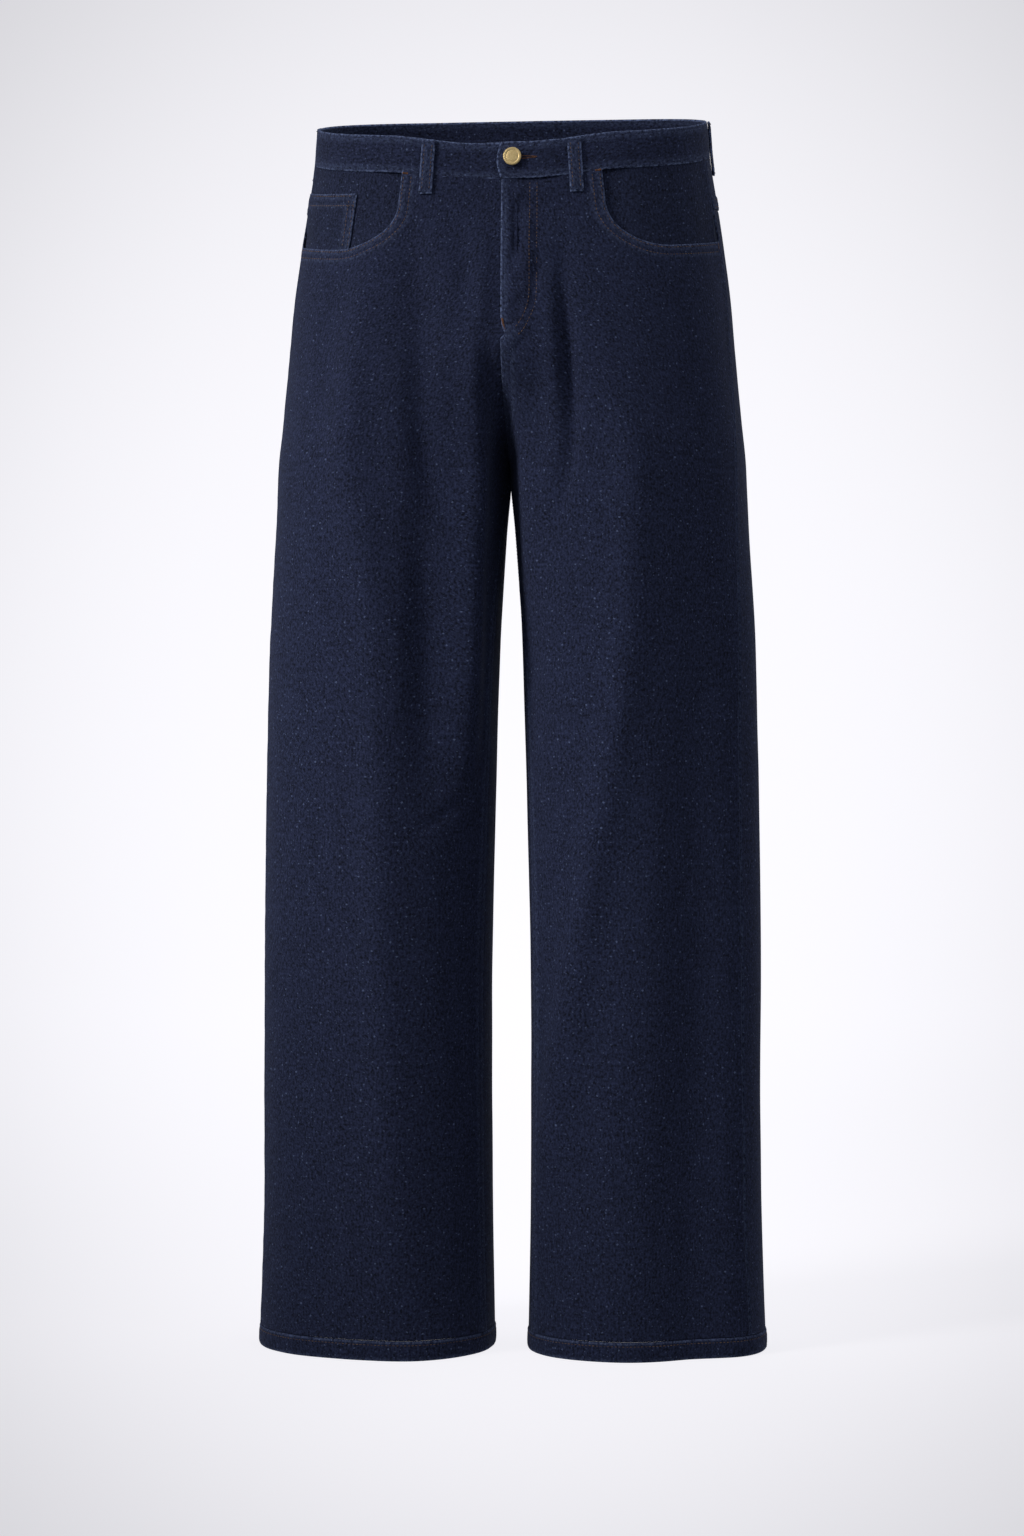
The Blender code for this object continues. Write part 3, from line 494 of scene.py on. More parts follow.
def cut(name, outline, place, finishes, wall, grid=GRID, rows=EDGE_ROWS, flip=False, turn_cloth=False):
    """Cut a flat outline, fill it, and lay every point with place(u, level, extra height)."""
    flat = outline[:, :2]
    if (flat[:, 0] * np.roll(flat[:, 1], -1) - np.roll(flat[:, 0], -1) * flat[:, 1]).sum() < 0.0:
        kinds = np.roll(outline[::-1, 2], -1)
        outline = np.column_stack([outline[::-1, :2], kinds])
        flat = outline[:, :2]
    low, high = flat.min(axis=0), flat.max(axis=0)
    across = np.arange(low[0], high[0], grid)
    up = np.arange(low[1], high[1], grid * math.sqrt(0.75))
    u, level = np.meshgrid(across, up)
    u = u + grid / 2.0 * (np.arange(len(up)) % 2)[:, None]
    candidates = [(np.column_stack([u.ravel(), level.ravel()]), rows[-1] + grid * 0.4)]
    candidates += [(inset(outline, width), width * 0.85) for width in rows]
    points = [flat]
    for group, margin in candidates:
        gaps, inside = to_edges(outline, group)
        points.append(group[inside & (np.min(list(gaps.values()), axis=0) > margin)])
    points = np.concatenate(points)
    loop = list(range(len(outline)))
    verts, _, faces, *_ = delaunay_2d_cdt([Vector(point) for point in points], [], [loop], 1, 1e-7)
    flat = np.array([(vert.x, vert.y) for vert in verts])
    gaps, _ = to_edges(outline, flat)
    height = sum(edge_height(kind, d) for kind, d in gaps.items())
    worn = np.max([edge_wear(kind, d) for kind, d in gaps.items()], axis=0)
    sewn = [d for kind, d in gaps.items() if kind != PLAIN] or [np.ones(len(flat))]
    shown = bell(np.min(sewn, axis=0) / 0.010)
    height += 0.00016 * shown * soft_noise(flat[:, 0], flat[:, 1], 0.0075, 0.0075, 31)
    faces = [face[::-1] if flip else face for face in faces]
    made = make_piece(name, place(flat[:, 0], flat[:, 1], height), faces, *finishes)
    store(made, flat[:, ::-1] if turn_cloth else flat, worn)
    solid = made.modifiers.new("Wall", "SOLIDIFY")
    solid.thickness = wall
    solid.offset = -1.0
    solid.material_offset = len(finishes) - 1
    print(name, len(verts), "points")


# %% [markdown]
# ## Finishes
#
# Raw denim is a cotton twill: dark indigo warp threads over undyed weft, woven on the diagonal. The dye
# sits on the outside of the yarn, so edges that rub turn pale blue. Each finish below starts from a
# colour in sRGB, turned linear once, and a small helper adds a node with its settings and inputs.

# %% Node helpers
def linear(code):
    """An sRGB hex colour as linear RGBA."""
    parts = [int(code[i:i + 2], 16) / 255.0 for i in (1, 3, 5)]
    return tuple(p / 12.92 if p <= 0.04045 else ((p + 0.055) / 1.055) ** 2.4 for p in parts) + (1.0,)


def feed(tree, node, inputs):
    """Give a node its inputs; each is a value, or the output socket that it is linked to."""
    for name, value in inputs.items():
        if isinstance(value, bpy.types.NodeSocket):
            tree.links.new(value, node.inputs[name])
        else:
            node.inputs[name].default_value = value


def add(tree, kind, inputs=None, **settings):
    """Add a node with its inputs and its settings."""
    made = tree.nodes.new(kind)
    for name, value in settings.items():
        setattr(made, name, value)
    feed(tree, made, inputs or {})
    return made


def new_finish(name, preview):
    """An empty material with its Principled shader."""
    made = bpy.data.materials.new(name)
    made.use_nodes = True
    made.diffuse_color = linear(preview)
    return made, made.node_tree, made.node_tree.nodes["Principled BSDF"]


def noise(tree, vector, size, detail=2.0, roughness=0.5):
    """The value of a noise whose cells are about size across, a pair for cloth that is stretched one way."""
    scale = (1.0 / size[0], 1.0 / size[1], 1.0 / size[-1])
    place = add(tree, "ShaderNodeMapping", {"Vector": vector, "Scale": scale})
    made = add(tree, "ShaderNodeTexNoise",
               {"Vector": place.outputs[0], "Scale": 1.0, "Detail": detail, "Roughness": roughness})
    return made.outputs[0]


def shift(tree, value, low, high, to_low, to_high):
    """Carry a value from one range to another, held at both ends."""
    return add(tree, "ShaderNodeMapRange", {0: value, 1: low, 2: high, 3: to_low, 4: to_high}).outputs[0]


def maths(tree, operation, a, b):
    """One sum of two values."""
    return add(tree, "ShaderNodeMath", {0: a, 1: b}, operation=operation).outputs[0]


def weighted(tree, *terms):
    """The sum of values, each times its weight."""
    total, *rest = [maths(tree, "MULTIPLY", value, weight) for value, weight in terms]
    for term in rest:
        total = maths(tree, "ADD", total, term)
    return total


def mix(tree, share, a, b):
    """A colour between two others."""
    return add(tree, "ShaderNodeMix", {0: share, 6: a, 7: b}, data_type="RGBA").outputs[2]


# %% Denim
TWILL_PITCH = 0.0019
STREAK = (0.0019, 0.0044)
GRAIN = (0.0017, 0.0019)
CLOUD = (0.014, 0.030)
SLUB = (0.0024, 0.0024)


def denim(name, dark, light, worn):
    """Indigo twill: streaks along the warp, white weft showing as specks, and pale worn edges."""
    made, tree, shader = new_finish(name, light)
    uv = add(tree, "ShaderNodeUVMap", uv_map="cloth").outputs[0]
    streak = noise(tree, uv, STREAK, 1.0, 0.5)
    grain = noise(tree, uv, GRAIN, 1.0, 0.5)
    cloud = noise(tree, uv, CLOUD, 3.0, 0.55)
    slub = noise(tree, uv, SLUB, 0.0)
    # A real twill line is 0.6 mm wide and would blur away at this size, so it is drawn three times as coarse.
    turned = add(tree, "ShaderNodeMapping", {"Vector": uv, "Rotation": (0.0, 0.0, math.radians(-62.0))})
    twill = add(tree, "ShaderNodeTexWave",
                {"Vector": turned.outputs[0], "Scale": 0.5 / TWILL_PITCH, "Distortion": 1.2,
                 "Detail": 1.0, "Detail Scale": 1.5}, bands_direction="X").outputs[1]
    tone = weighted(tree, (shift(tree, streak, 0.36, 0.64, 0.0, 1.0), 0.36),
                    (shift(tree, grain, 0.36, 0.66, 0.0, 1.0), 0.42),
                    (shift(tree, cloud, 0.32, 0.68, 0.0, 1.0), 0.12), (twill, 0.10))
    cloth = mix(tree, tone, linear(dark), linear(light))
    cloth = mix(tree, shift(tree, slub, 0.72, 0.84, 0.0, 0.5), cloth, linear(worn))
    wear = add(tree, "ShaderNodeAttribute", attribute_name="wear").outputs[2]
    patchy = noise(tree, uv, (0.0022, 0.0034), 2.0, 0.6)
    rubbed = maths(tree, "MULTIPLY", wear, shift(tree, patchy, 0.40, 0.62, 0.05, 1.0))
    colour = mix(tree, rubbed, cloth, linear(worn))
    height = weighted(tree, (streak, 0.5), (grain, 0.7), (twill, 0.25))
    bump = add(tree, "ShaderNodeBump", {"Strength": 0.7, "Distance": 0.0009, "Height": height})
    feed(tree, shader, {"Base Color": colour, "Normal": bump.outputs[0], "Roughness": 0.92,
                        "Specular IOR Level": 0.12, "Sheen Weight": 0.10, "Sheen Roughness": 0.55,
                        "Sheen Tint": linear("#8d9ac4")})
    return made


denim_face = denim("indigo_denim_face", "#090a12", "#373f60", "#7484ae")
denim_back = denim("indigo_denim_reverse", "#141722", "#3e465e", "#6f7ea8")
denim_pocket = denim("indigo_denim_facing", "#090a12", "#353d5c", "#7484ae")
print("denim:", len(denim_face.node_tree.nodes), "nodes")


# %% Thread, brass and woven tape
def thread_finish(name, base, light):
    """Corespun polyester thread: a matt, twisted strand."""
    made, tree, shader = new_finish(name, base)
    place = add(tree, "ShaderNodeTexCoord").outputs["Object"]
    speck = noise(tree, place, (0.0016, 0.0016), 2.0)
    colour = mix(tree, shift(tree, speck, 0.35, 0.65, 0.0, 1.0), linear(base), linear(light))
    feed(tree, shader, {"Base Color": colour, "Roughness": 0.7, "Specular IOR Level": 0.2})
    return made


thread_tan = thread_finish("tan_thread", "#46393a", "#7b6556")
thread_blue = thread_finish("blue_thread", "#20263b", "#4b567a")
thread_copper = thread_finish("copper_thread", "#5a3d2e", "#8c634a")

# Brushed brass under a thin lacquer: scuffs change its colour and its gloss together.
brass, tree, shader = new_finish("satin_brass", "#e6cc92")
scuff = noise(tree, add(tree, "ShaderNodeTexCoord").outputs["Object"], (0.0009, 0.0009), 3.0, 0.6)
colour = mix(tree, shift(tree, scuff, 0.35, 0.7, 0.0, 1.0), linear("#dcbf82"), linear("#f6dfa8"))
feed(tree, shader, {"Base Color": colour, "Roughness": shift(tree, scuff, 0.3, 0.7, 0.46, 0.62), "Metallic": 0.6})

# Polyester tape with a fine crosswise rib, left bare.
tape, tree, shader = new_finish("woven_label_tape", "#b4bac6")
uv = add(tree, "ShaderNodeUVMap", uv_map="cloth").outputs[0]
rib = add(tree, "ShaderNodeTexWave", {"Vector": uv, "Scale": 160.0, "Distortion": 0.5}, bands_direction="Y")
feed(tree, shader, {"Base Color": mix(tree, rib.outputs[1], linear("#9aa1b2"), linear("#c6cbd6")), "Roughness": 0.8})
print("finishes:", [m.name for m in bpy.data.materials][-8:])

# %% [markdown]
# ## Front panels
#
# A front runs from the centre seam out to the side seam and from the waist to the hem, less the pocket
# opening. The wearer's left front rides over the right one at the fly, so it is lifted there, and the
# layers under it make it pucker. The piece is built as one sheet per panel, because that is how it is
# cut, and its outline is a short list of named edges.

# %% Seam lines shared by the pieces
FLY_END = 0.8625
FLY_TACK = 0.876
FLY_UNDERLAP = 0.014
FLY_ROWS = (0.0240, 0.0300)
FLY_BEND = 0.916
FLY_HOOK = 0.018
FLY_LIFT = 0.0019
FLY_FADE = (0.0450, 0.0215)
FLY_FLAT = 0.018
FLY_FALL = 0.027
POCKET_START = 0.084
POCKET_LEVEL = 0.956
POCKET_CORNER = (0.052, 0.040)
YOKE_SIDE_LEVEL = 0.985
YOKE_BACK_LEVEL = 0.955
HALF_WAIST = float(u_back(1.04) - u_inner(1.04))
FOOT = HEM_HEIGHT + SEAM_GAP
seams = {"tan": [], "blue": [], "copper": [], "hole": []}


def rim_level(s):
    """Level of the waistband's top edge, s along the waist from the centre front."""
    return RIM_FRONT + RIM_SIDE_RISE * smoothstep(0.02, 0.10, s) - RIM_BACK_DROP * smoothstep(0.20, 0.40, s)


def waist_edge(start, end):
    """The top edge of a panel between two distances along the waist."""
    s = steps(start, end)
    level = rim_level(np.maximum(s, 0.0)) - BAND_HEIGHT + INTO_BAND
    return edge(u_inner(level) + s, level, PLAIN)


def seam_edge(line, low, high, kind, down=False):
    """An edge along line(level) between two levels, upwards or down."""
    level = steps(low, high)[::-1] if down else steps(low, high)
    return edge(line(level), level, kind)


def pocket_edge(side):
    """The pocket opening from the waist: down, round a quarter ellipse, level to the side seam."""
    top = waist_edge(POCKET_START, POCKET_START)[0]
    wide, high = POCKET_CORNER
    turn = steps(0.0, math.pi / 2.0, 0.08)
    corner = edge(top[0] + wide * (1.0 - np.cos(turn)), POCKET_LEVEL + high * (1.0 - np.sin(turn)), ROLLED)
    down = steps(top[1], POCKET_LEVEL + high)[:-1]
    run = steps(top[0] + wide, float(u_outseam(side, POCKET_LEVEL)))[1:]
    return np.concatenate([edge(top[0], down, ROLLED), corner, edge(run, POCKET_LEVEL, ROLLED)])


def fly_lift(side, s, level):
    """How far the wearer's left front rides over the other one at the fly."""
    rise = smoothstep(FLY_END - FLY_FADE[0], FLY_END - FLY_FADE[1], level)
    return (side > 0) * FLY_LIFT * (1.0 - smoothstep(FLY_FLAT, FLY_FLAT + FLY_FALL, s)) * rise


def sew(thread, place, path, height=0.0):
    """Keep a line of stitching: its points on the cloth and which way the cloth faces there."""
    flat = np.asarray(path, float)[:, :2]
    low = place(flat[:, 0], flat[:, 1], height)
    seams[thread].append((low, place(flat[:, 0], flat[:, 1], height + 0.001) - low))


def sew_edge(thread, place, edges, name, rows, trim=(0.003, 0.003)):
    """Stitch along one named edge of a piece, at each distance in rows, trimmed at its ends."""
    outline = outline_of(edges)
    start = sum(len(part) for part in list(edges.values())[:list(edges).index(name)])
    kind = int(edges[name][0, 2])
    for row in rows:
        path = inset(outline, row)[start:start + len(edges[name])]
        length = np.concatenate([[0.0], np.cumsum(np.linalg.norm(np.diff(path, axis=0), axis=1))])
        keep = (length > trim[0]) & (length < length[-1] - trim[1])
        sew(thread, place, path[keep], float(edge_height(kind, np.array(row))))


# %% Creases of the fly
# Measured from the centre front: the layers behind the fly shrink more than the cloth over them.
FLY_CREASES = (
    # top, low, s_top, s_low, depth, width
    (1.012, 0.930, 0.012, 0.017, -0.0028, 0.0045),
    (1.000, 0.905, 0.024, 0.019, +0.0026, 0.0050),
    (0.985, 0.900, 0.033, 0.026, -0.0023, 0.0045),
    (0.950, 0.885, 0.012, 0.010, +0.0020, 0.0050),
    (0.892, 0.848, 0.038, 0.008, -0.0030, 0.0050),
    (0.902, 0.856, 0.044, 0.016, +0.0020, 0.0055),
)


def fly_creases(side, s, level):
    """Height of the creases over the fly, on the wearer's left front only."""
    total = 0.0 * s
    for top, low, s_top, s_low, depth, width in FLY_CREASES if side > 0 else ():
        t = np.clip((top - level) / (top - low), 0.0, 1.0)
        total += depth * np.sin(math.pi * t) ** FOLD_FADE * bell((s - s_top - (s_low - s_top) * t) / width)
    patch = smoothstep(0.004, 0.012, s) * (1.0 - smoothstep(0.032, 0.045, s)) * smoothstep(0.885, 0.91, level)
    return total + (side > 0) * 0.0022 * patch * soft_noise(s, level, 0.007, 0.012, 41)


# %% Cut the fronts
def front_edges(side):
    """The named edges of a front panel, anticlockwise from the fork."""
    out_line = partial(u_outseam, side)
    down = steps(FORK_LEVEL, FOOT)
    inseam = edge(u_inner(down) + inseam_run(down), down, OVER)
    edges = {"inseam": inseam,
             "foot": edge(steps(inseam[-1, 0], float(out_line(FOOT)))[1:-1], FOOT, PLAIN),
             "outseam": seam_edge(out_line, FOOT, POCKET_LEVEL, OPEN),
             "pocket": pocket_edge(side)[::-1][1:-1]}
    if side > 0:
        edges["waist"] = waist_edge(POCKET_START, 0.0)
        edges["fly"] = seam_edge(u_inner, FLY_TACK, 1.016, FOLDED, down=True)
        edges["rise"] = seam_edge(u_inner, FORK_LEVEL, FLY_TACK - 0.004, OVER, down=True)[:-1]
    else:
        edges["waist"] = waist_edge(POCKET_START, -FLY_UNDERLAP)
        edges["fly"] = seam_edge(lambda level: u_inner(level) - FLY_UNDERLAP, FLY_END, 1.014, PLAIN, down=True)
        edges["rise"] = seam_edge(lambda level: u_inner(level) - TUCK, FORK_LEVEL, FLY_END - 0.001, UNDER, down=True)
    return edges


def on_front(side):
    """The way a front panel is laid."""
    def place(u, level, height=0.0):
        s = u - u_inner(level)
        return lay(side, u, level, height + fly_lift(side, s, level) + fly_creases(side, s, level))
    return place


SIDES = {"left": +1, "right": -1}
for name, side in SIDES.items():
    edges, place = front_edges(side), on_front(side)
    cut(f"front_panel_{name}", outline_of(edges), place, (denim_face, denim_back), DENIM, flip=side < 0)
    sew_edge("blue", place, edges, "inseam", STITCH_ROWS[OVER], (0.012, 0.002))
    sew_edge("tan", place, edges, "pocket", STITCH_ROWS[ROLLED], (0.001, 0.001))
    if side > 0:
        sew_edge("blue", place, edges, "rise", STITCH_ROWS[OVER], (0.002, 0.010))
        turn = steps(0.0, math.pi / 2.0, 0.05)
        for row in FLY_ROWS:
            drop = np.column_stack([np.full(40, row), np.linspace(1.016, FLY_BEND, 40)])
            hook = np.column_stack([row * np.cos(turn), FLY_BEND - (FLY_HOOK + row) * np.sin(turn)])
            path = np.concatenate([drop[:-1], hook[:-2]])
            sew("tan", place, np.column_stack([u_inner(path[:, 1]) + path[:, 0], path[:, 1]]))

# %% [markdown]
# ## Backs and yokes
#
# The seat is shaped by the yoke seam, which takes the place of darts: the yoke is narrow at the side and
# deep at the centre back. Both seams there are felled and stitched twice, with the yoke and the wearer's
# left side on top.


# %% Cut the backs and yokes
def yoke_level(side, u):
    """Level of the yoke seam."""
    side_u = u_outseam(side, YOKE_SIDE_LEVEL)
    share = (u - side_u) / (u_back(YOKE_BACK_LEVEL) - side_u)
    return YOKE_SIDE_LEVEL + (YOKE_BACK_LEVEL - YOKE_SIDE_LEVEL) * share


def centre_back(side):
    """The centre back seam: its line, and which side of the felled seam this panel is."""
    return (u_back, OVER) if side > 0 else (lambda level: u_back(level) + TUCK, UNDER)


def back_edges(side):
    """The named edges of a back panel, anticlockwise from the top of the side seam."""
    out_line = partial(u_outseam, side)

    def in_line(level):
        return u_back(level) + inseam_run(level) + TUCK

    centre_line, centre = centre_back(side)
    yoke_line = steps(float(centre_line(YOKE_BACK_LEVEL)), float(out_line(YOKE_SIDE_LEVEL)))[1:-1]
    return {"outseam": seam_edge(out_line, FOOT, YOKE_SIDE_LEVEL + TUCK, OPEN, down=True),
            "foot": edge(steps(float(out_line(FOOT)), float(in_line(FOOT)))[1:-1], FOOT, PLAIN),
            "inseam": seam_edge(in_line, FOOT, FORK_LEVEL - 0.006, UNDER),
            "centre": seam_edge(centre_line, FORK_LEVEL, YOKE_BACK_LEVEL + TUCK, centre),
            "yoke": edge(yoke_line, yoke_level(side, yoke_line) + TUCK, UNDER)}


def yoke_edges(side):
    """The named edges of a yoke, anticlockwise from its side end."""
    out_line = partial(u_outseam, side)
    centre_line, centre = centre_back(side)
    low = steps(float(out_line(YOKE_SIDE_LEVEL)), float(centre_line(YOKE_BACK_LEVEL)))[:-1]
    rim = float(rim_level(0.30)) - BAND_HEIGHT
    seam_s, centre_s = float(out_line(rim) - u_inner(rim)), float(centre_line(rim) - u_inner(rim))
    return {"seam": edge(low, yoke_level(side, low), OVER),
            "centre": seam_edge(centre_line, YOKE_BACK_LEVEL, rim, centre),
            "waist": waist_edge(centre_s, seam_s),
            "outseam": seam_edge(out_line, YOKE_SIDE_LEVEL + 0.004, rim - 0.006, OPEN, down=True)}


def on_body(side):
    """The way a plain panel is laid."""
    return lambda u, level, height=0.0: lay(side, u, level, height)


for name, side in SIDES.items():
    for piece, edges in (("back_panel", back_edges(side)), ("yoke_panel", yoke_edges(side))):
        cut(f"{piece}_{name}", outline_of(edges), on_body(side), (denim_face, denim_back), DENIM,
            flip=side < 0)
        if piece == "yoke_panel":
            sew_edge("tan", on_body(side), edges, "seam", STITCH_ROWS[OVER])
        if side > 0:
            sew_edge("tan", on_body(side), edges, "centre", STITCH_ROWS[OVER])

# %% [markdown]
# ## Pockets
#
# The front pocket opening shows a facing: a patch of the same denim sewn to the pocket bag. On the
# wearer's right it carries the small coin pocket. The two back pockets are patches with their edges
# turned under. The facing is cut a little smaller than the opening's reach and lies below the front.

# %% Cut the front pockets
POCKET_TUCK = 0.025
POCKET_SINK = 0.0032
COIN_TOP = 1.008
COIN_INNER = 0.127
COIN_CLOTH = 0.0010
COIN_GAP = 0.0005
SMALL_GRID = 0.0030


def polyline(corners, kinds, size=0.004):
    """An outline through corners, each side of it of its own kind."""
    parts = []
    for here, after, kind in zip(corners, corners[1:] + corners[:1], kinds):
        t = steps(0.0, 1.0, size / math.dist(here, after))[:-1]
        parts.append(edge(here[0] + (after[0] - here[0]) * t, here[1] + (after[1] - here[1]) * t, kind))
    return parts


def facing_edges(side):
    """The facing under the pocket opening, tucked behind the front all along it."""
    start = float(waist_edge(POCKET_START, POCKET_START)[0, 0]) - POCKET_TUCK
    low, out_line = POCKET_LEVEL - POCKET_TUCK, partial(u_outseam, side)
    rim = float(rim_level(0.20)) - BAND_HEIGHT
    corners = [(start, 0.985), (start + 0.006, 0.962), (start + 0.026, 0.940), (start + 0.052, low),
               (float(out_line(low)), low)]
    hidden = polyline(corners, (PLAIN,) * 5)[:4]
    return {"hidden": np.concatenate(hidden),
            "outseam": seam_edge(out_line, low, rim - 0.006, OPEN),
            "waist": waist_edge(float(out_line(rim) - u_inner(rim)), POCKET_START - POCKET_TUCK)}


def coin_edges(side):
    """The coin pocket, its lower part tucked behind the front."""
    inner, low = float(u_inner(COIN_TOP)) + COIN_INNER, POCKET_LEVEL - 0.014

    def out_line(level):
        return u_outseam(side, level) - 0.003

    outer = float(out_line(COIN_TOP))
    across = steps(outer, inner)
    return {"inner": edge(inner, steps(COIN_TOP, low)[1:-1], ROLLED),
            "low": edge(steps(inner, float(out_line(low)))[:-1], low, PLAIN),
            "outer": seam_edge(out_line, low, COIN_TOP - 0.006, PLAIN),
            "top": edge(across, COIN_TOP - 0.004 * (across - inner) / (outer - inner), ROLLED)}


def pocket_sink(side, u, level):
    """How far the facing lies below the form: deep at the opening, almost level in the middle."""
    curve = pocket_edge(side)
    fence = np.concatenate([curve, edge([curve[-1, 0] + 0.05, curve[0, 0] - 0.10, curve[0, 0] - 0.10],
                                        [0.90, 0.90, 1.06])])[::-1]
    flat = np.column_stack(np.broadcast_arrays(u, level))
    gaps, inside = to_edges(fence, flat)
    beyond = np.where(inside, -1.0, 1.0) * np.min(list(gaps.values()), axis=0)
    to_seam = 1.0 - smoothstep(0.0, 0.020, u_outseam(side, flat[:, 1]) - flat[:, 0])
    return POCKET_SINK * (1.0 - (0.62 + 0.38 * to_seam) * smoothstep(0.004, 0.034, beyond))


def on_facing(side, lift=0.0):
    """The way a facing, or the coin pocket on it, is laid."""
    def place(u, level, height=0.0):
        return lay(side, u, level, height + lift - pocket_sink(side, np.asarray(u), np.asarray(level)))
    return place


for name, side in SIDES.items():
    edges = facing_edges(side)
    cut(f"pocket_facing_{name}", outline_of(edges), on_facing(side), (denim_pocket, denim_back),
        DENIM, grid=SMALL_GRID, flip=side < 0)
edges, place = coin_edges(-1), on_facing(-1, COIN_CLOTH + COIN_GAP)
cut("coin_pocket_patch", outline_of(edges), place, (denim_pocket,), COIN_CLOTH, grid=SMALL_GRID, flip=True)
sew_edge("tan", place, edges, "top", (0.0020, 0.0105))
sew_edge("tan", place, edges, "inner", (0.0020, 0.0080), (0.002, 0.012))


# %% Cut the back pockets
BACK_POCKET_X = 0.108
LAYER_GAP = 0.0009
BACK_POCKET = ((-0.072, 0.922), (-0.064, 0.800), (0.005, 0.776), (0.072, 0.806), (0.077, 0.932))
TAIL = 2 * QUARTER_STEPS
CENTRE_LINE = np.array([np.interp(-BACK_POCKET_X, -x[TAIL:], u[TAIL:]) for u, x, _ in SHAPES])


def on_back_pocket(side):
    """The way a back pocket is laid: across is measured from the line down its middle."""
    def place(across, level, height=0.0):
        return lay(side, np.interp(level, ROWS, CENTRE_LINE) + across, level, height + DENIM + LAYER_GAP)
    return place


for name, side in SIDES.items():
    parts = polyline(list(BACK_POCKET), (ROLLED,) * 5)
    edges = dict(zip(("inner", "slant_in", "slant_out", "outer", "top"), parts))
    cut(f"back_pocket_patch_{name}", np.concatenate(parts), on_back_pocket(side), (denim_face,), DENIM,
        grid=SMALL_GRID, flip=side < 0)
    for part in edges:
        sew_edge("tan", on_back_pocket(side), edges, part, STITCH_ROWS[ROLLED], (0.002, 0.002))

# %% [markdown]
# ## Waistband, loops and hems
#
# The waistband is one straight strip folded lengthwise, so it is twice as thick and round at its edges.
# Its top end laps over the other one and carries the button. A belt loop is a narrow strip that bows a
# little off the band between its two sewn ends. The hem is the leg's own cloth turned up twice: a soft
# tube of three layers that twists a little as it is stitched, which gives it its ropy look.

# %% Cut the waistband
BAND_PROUD = 0.0006
BAND_LIFT = 0.0027
BAND_UNDERLAP = 0.036
BAND_END_BOW = 0.0035
BAND_CROWN = 0.0005


def on_band(along, height, out=0.0):
    """A point of the waistband, along from the centre front round by the wearer's left side."""
    along, height, out = together(along, height, out)
    left = along <= HALF_WAIST
    side = np.where(left, 1.0, -1.0)
    s = np.where(left, along, 2.0 * HALF_WAIST - along)
    level = rim_level(np.abs(s)) - BAND_HEIGHT + height
    lift = BAND_PROUD + BAND_LIFT * (1.0 - smoothstep(BAND_UNDERLAP + 0.001, 0.054, along))
    crown = BAND_CROWN * np.sin(math.pi * np.clip(height / BAND_HEIGHT, 0.0, 1.0)) ** 0.7
    waves = 0.0003 * soft_noise(along, height, 0.022, 0.020, 51)
    stretch = (u_back(level) - u_inner(level)) / HALF_WAIST
    return lay(side, u_inner(level) + s * stretch, level, lift + crown - BAND_CROWN + waves + out)


end = 2.0 * HALF_WAIST + BAND_UNDERLAP
up = steps(0.0, BAND_HEIGHT, 0.003)
run = steps(0.0, end)
band_edges = {"end": edge(-BAND_END_BOW * np.sin(math.pi * up[::-1] / BAND_HEIGHT), up[::-1], FOLDED),
              "low": edge(run[1:], 0.0, FOLDED),
              "tail": edge(end, up[1:], PLAIN),
              "top": edge(run[::-1][1:-1], BAND_HEIGHT, FOLDED)}
cut("waistband_strip", outline_of(band_edges), on_band, (denim_face,), BAND, grid=SMALL_GRID,
    rows=(0.0006, 0.0012, 0.0022, 0.0032, 0.0050), turn_cloth=True)
for part in ("end", "low", "top"):
    sew_edge("blue", on_band, band_edges, part, (0.0022,), (0.002, 0.002))

# %% Cut the belt loops
LOOP_WIDTH = 0.0115
LOOP_LENGTH = 0.047
LOOP_BOW = {"front": 0.0010, "side": 0.0, "back": 0.0010}
FRONT_LOOP_AT = 0.0605
LOOP_ROWS = (0.0005, 0.0011, 0.0022, 0.0032)
LOOP_END = 0.0022


def on_loop(side, kind):
    """The way a belt loop is laid: across its width, up from its lower tack."""
    def place(across, row, height=0.0):
        share = np.clip(row / LOOP_LENGTH, 0.0, 1.0)
        bow = LOOP_BOW[kind] * np.sin(math.pi * share) ** 0.6
        out = (SEAM_GAP + 0.0001 + (BAND_PROUD + 0.0002) * share + bow + LOOP
               + 0.0004 * bell(across / 0.0022))
        at = {"front": FRONT_LOOP_AT, "side": float(u_widest(1.04) - u_inner(1.04)), "back": HALF_WAIST}[kind]
        level = rim_level(at) - 0.0008 - LOOP_LENGTH + row
        u = {"front": u_inner(level) + FRONT_LOOP_AT + 0.003 * (1.0 - share),
             "side": u_widest(level) + 0.009, "back": u_back(level)}[kind]
        return lay(side, u + across, level, height + out)
    return place


LOOPS = [(f"belt_loop_strip_{kind}_{n}", s, kind) for kind in ("front", "side") for n, s in SIDES.items()]
LOOPS += [("belt_loop_strip_back", 1, "back")]
half = LOOP_WIDTH / 2.0
up = steps(0.0, LOOP_LENGTH, 0.003)
loop_edges = {"one": edge(-half, up[::-1], FOLDED), "other": edge(half, up, FOLDED)}
for name, side, kind in LOOPS:
    place = on_loop(side, kind)
    cut(name, outline_of(loop_edges), place, (denim_face,), LOOP, grid=0.0022, rows=LOOP_ROWS, flip=side < 0)
    for part in loop_edges:
        sew_edge("tan", place, loop_edges, part, (0.0026,), (0.003, 0.003))
    for row in (LOOP_END, LOOP_LENGTH - LOOP_END):
        sew("blue", place, [(-half + 0.0012, row), (half - 0.0012, row)], 0.0003)

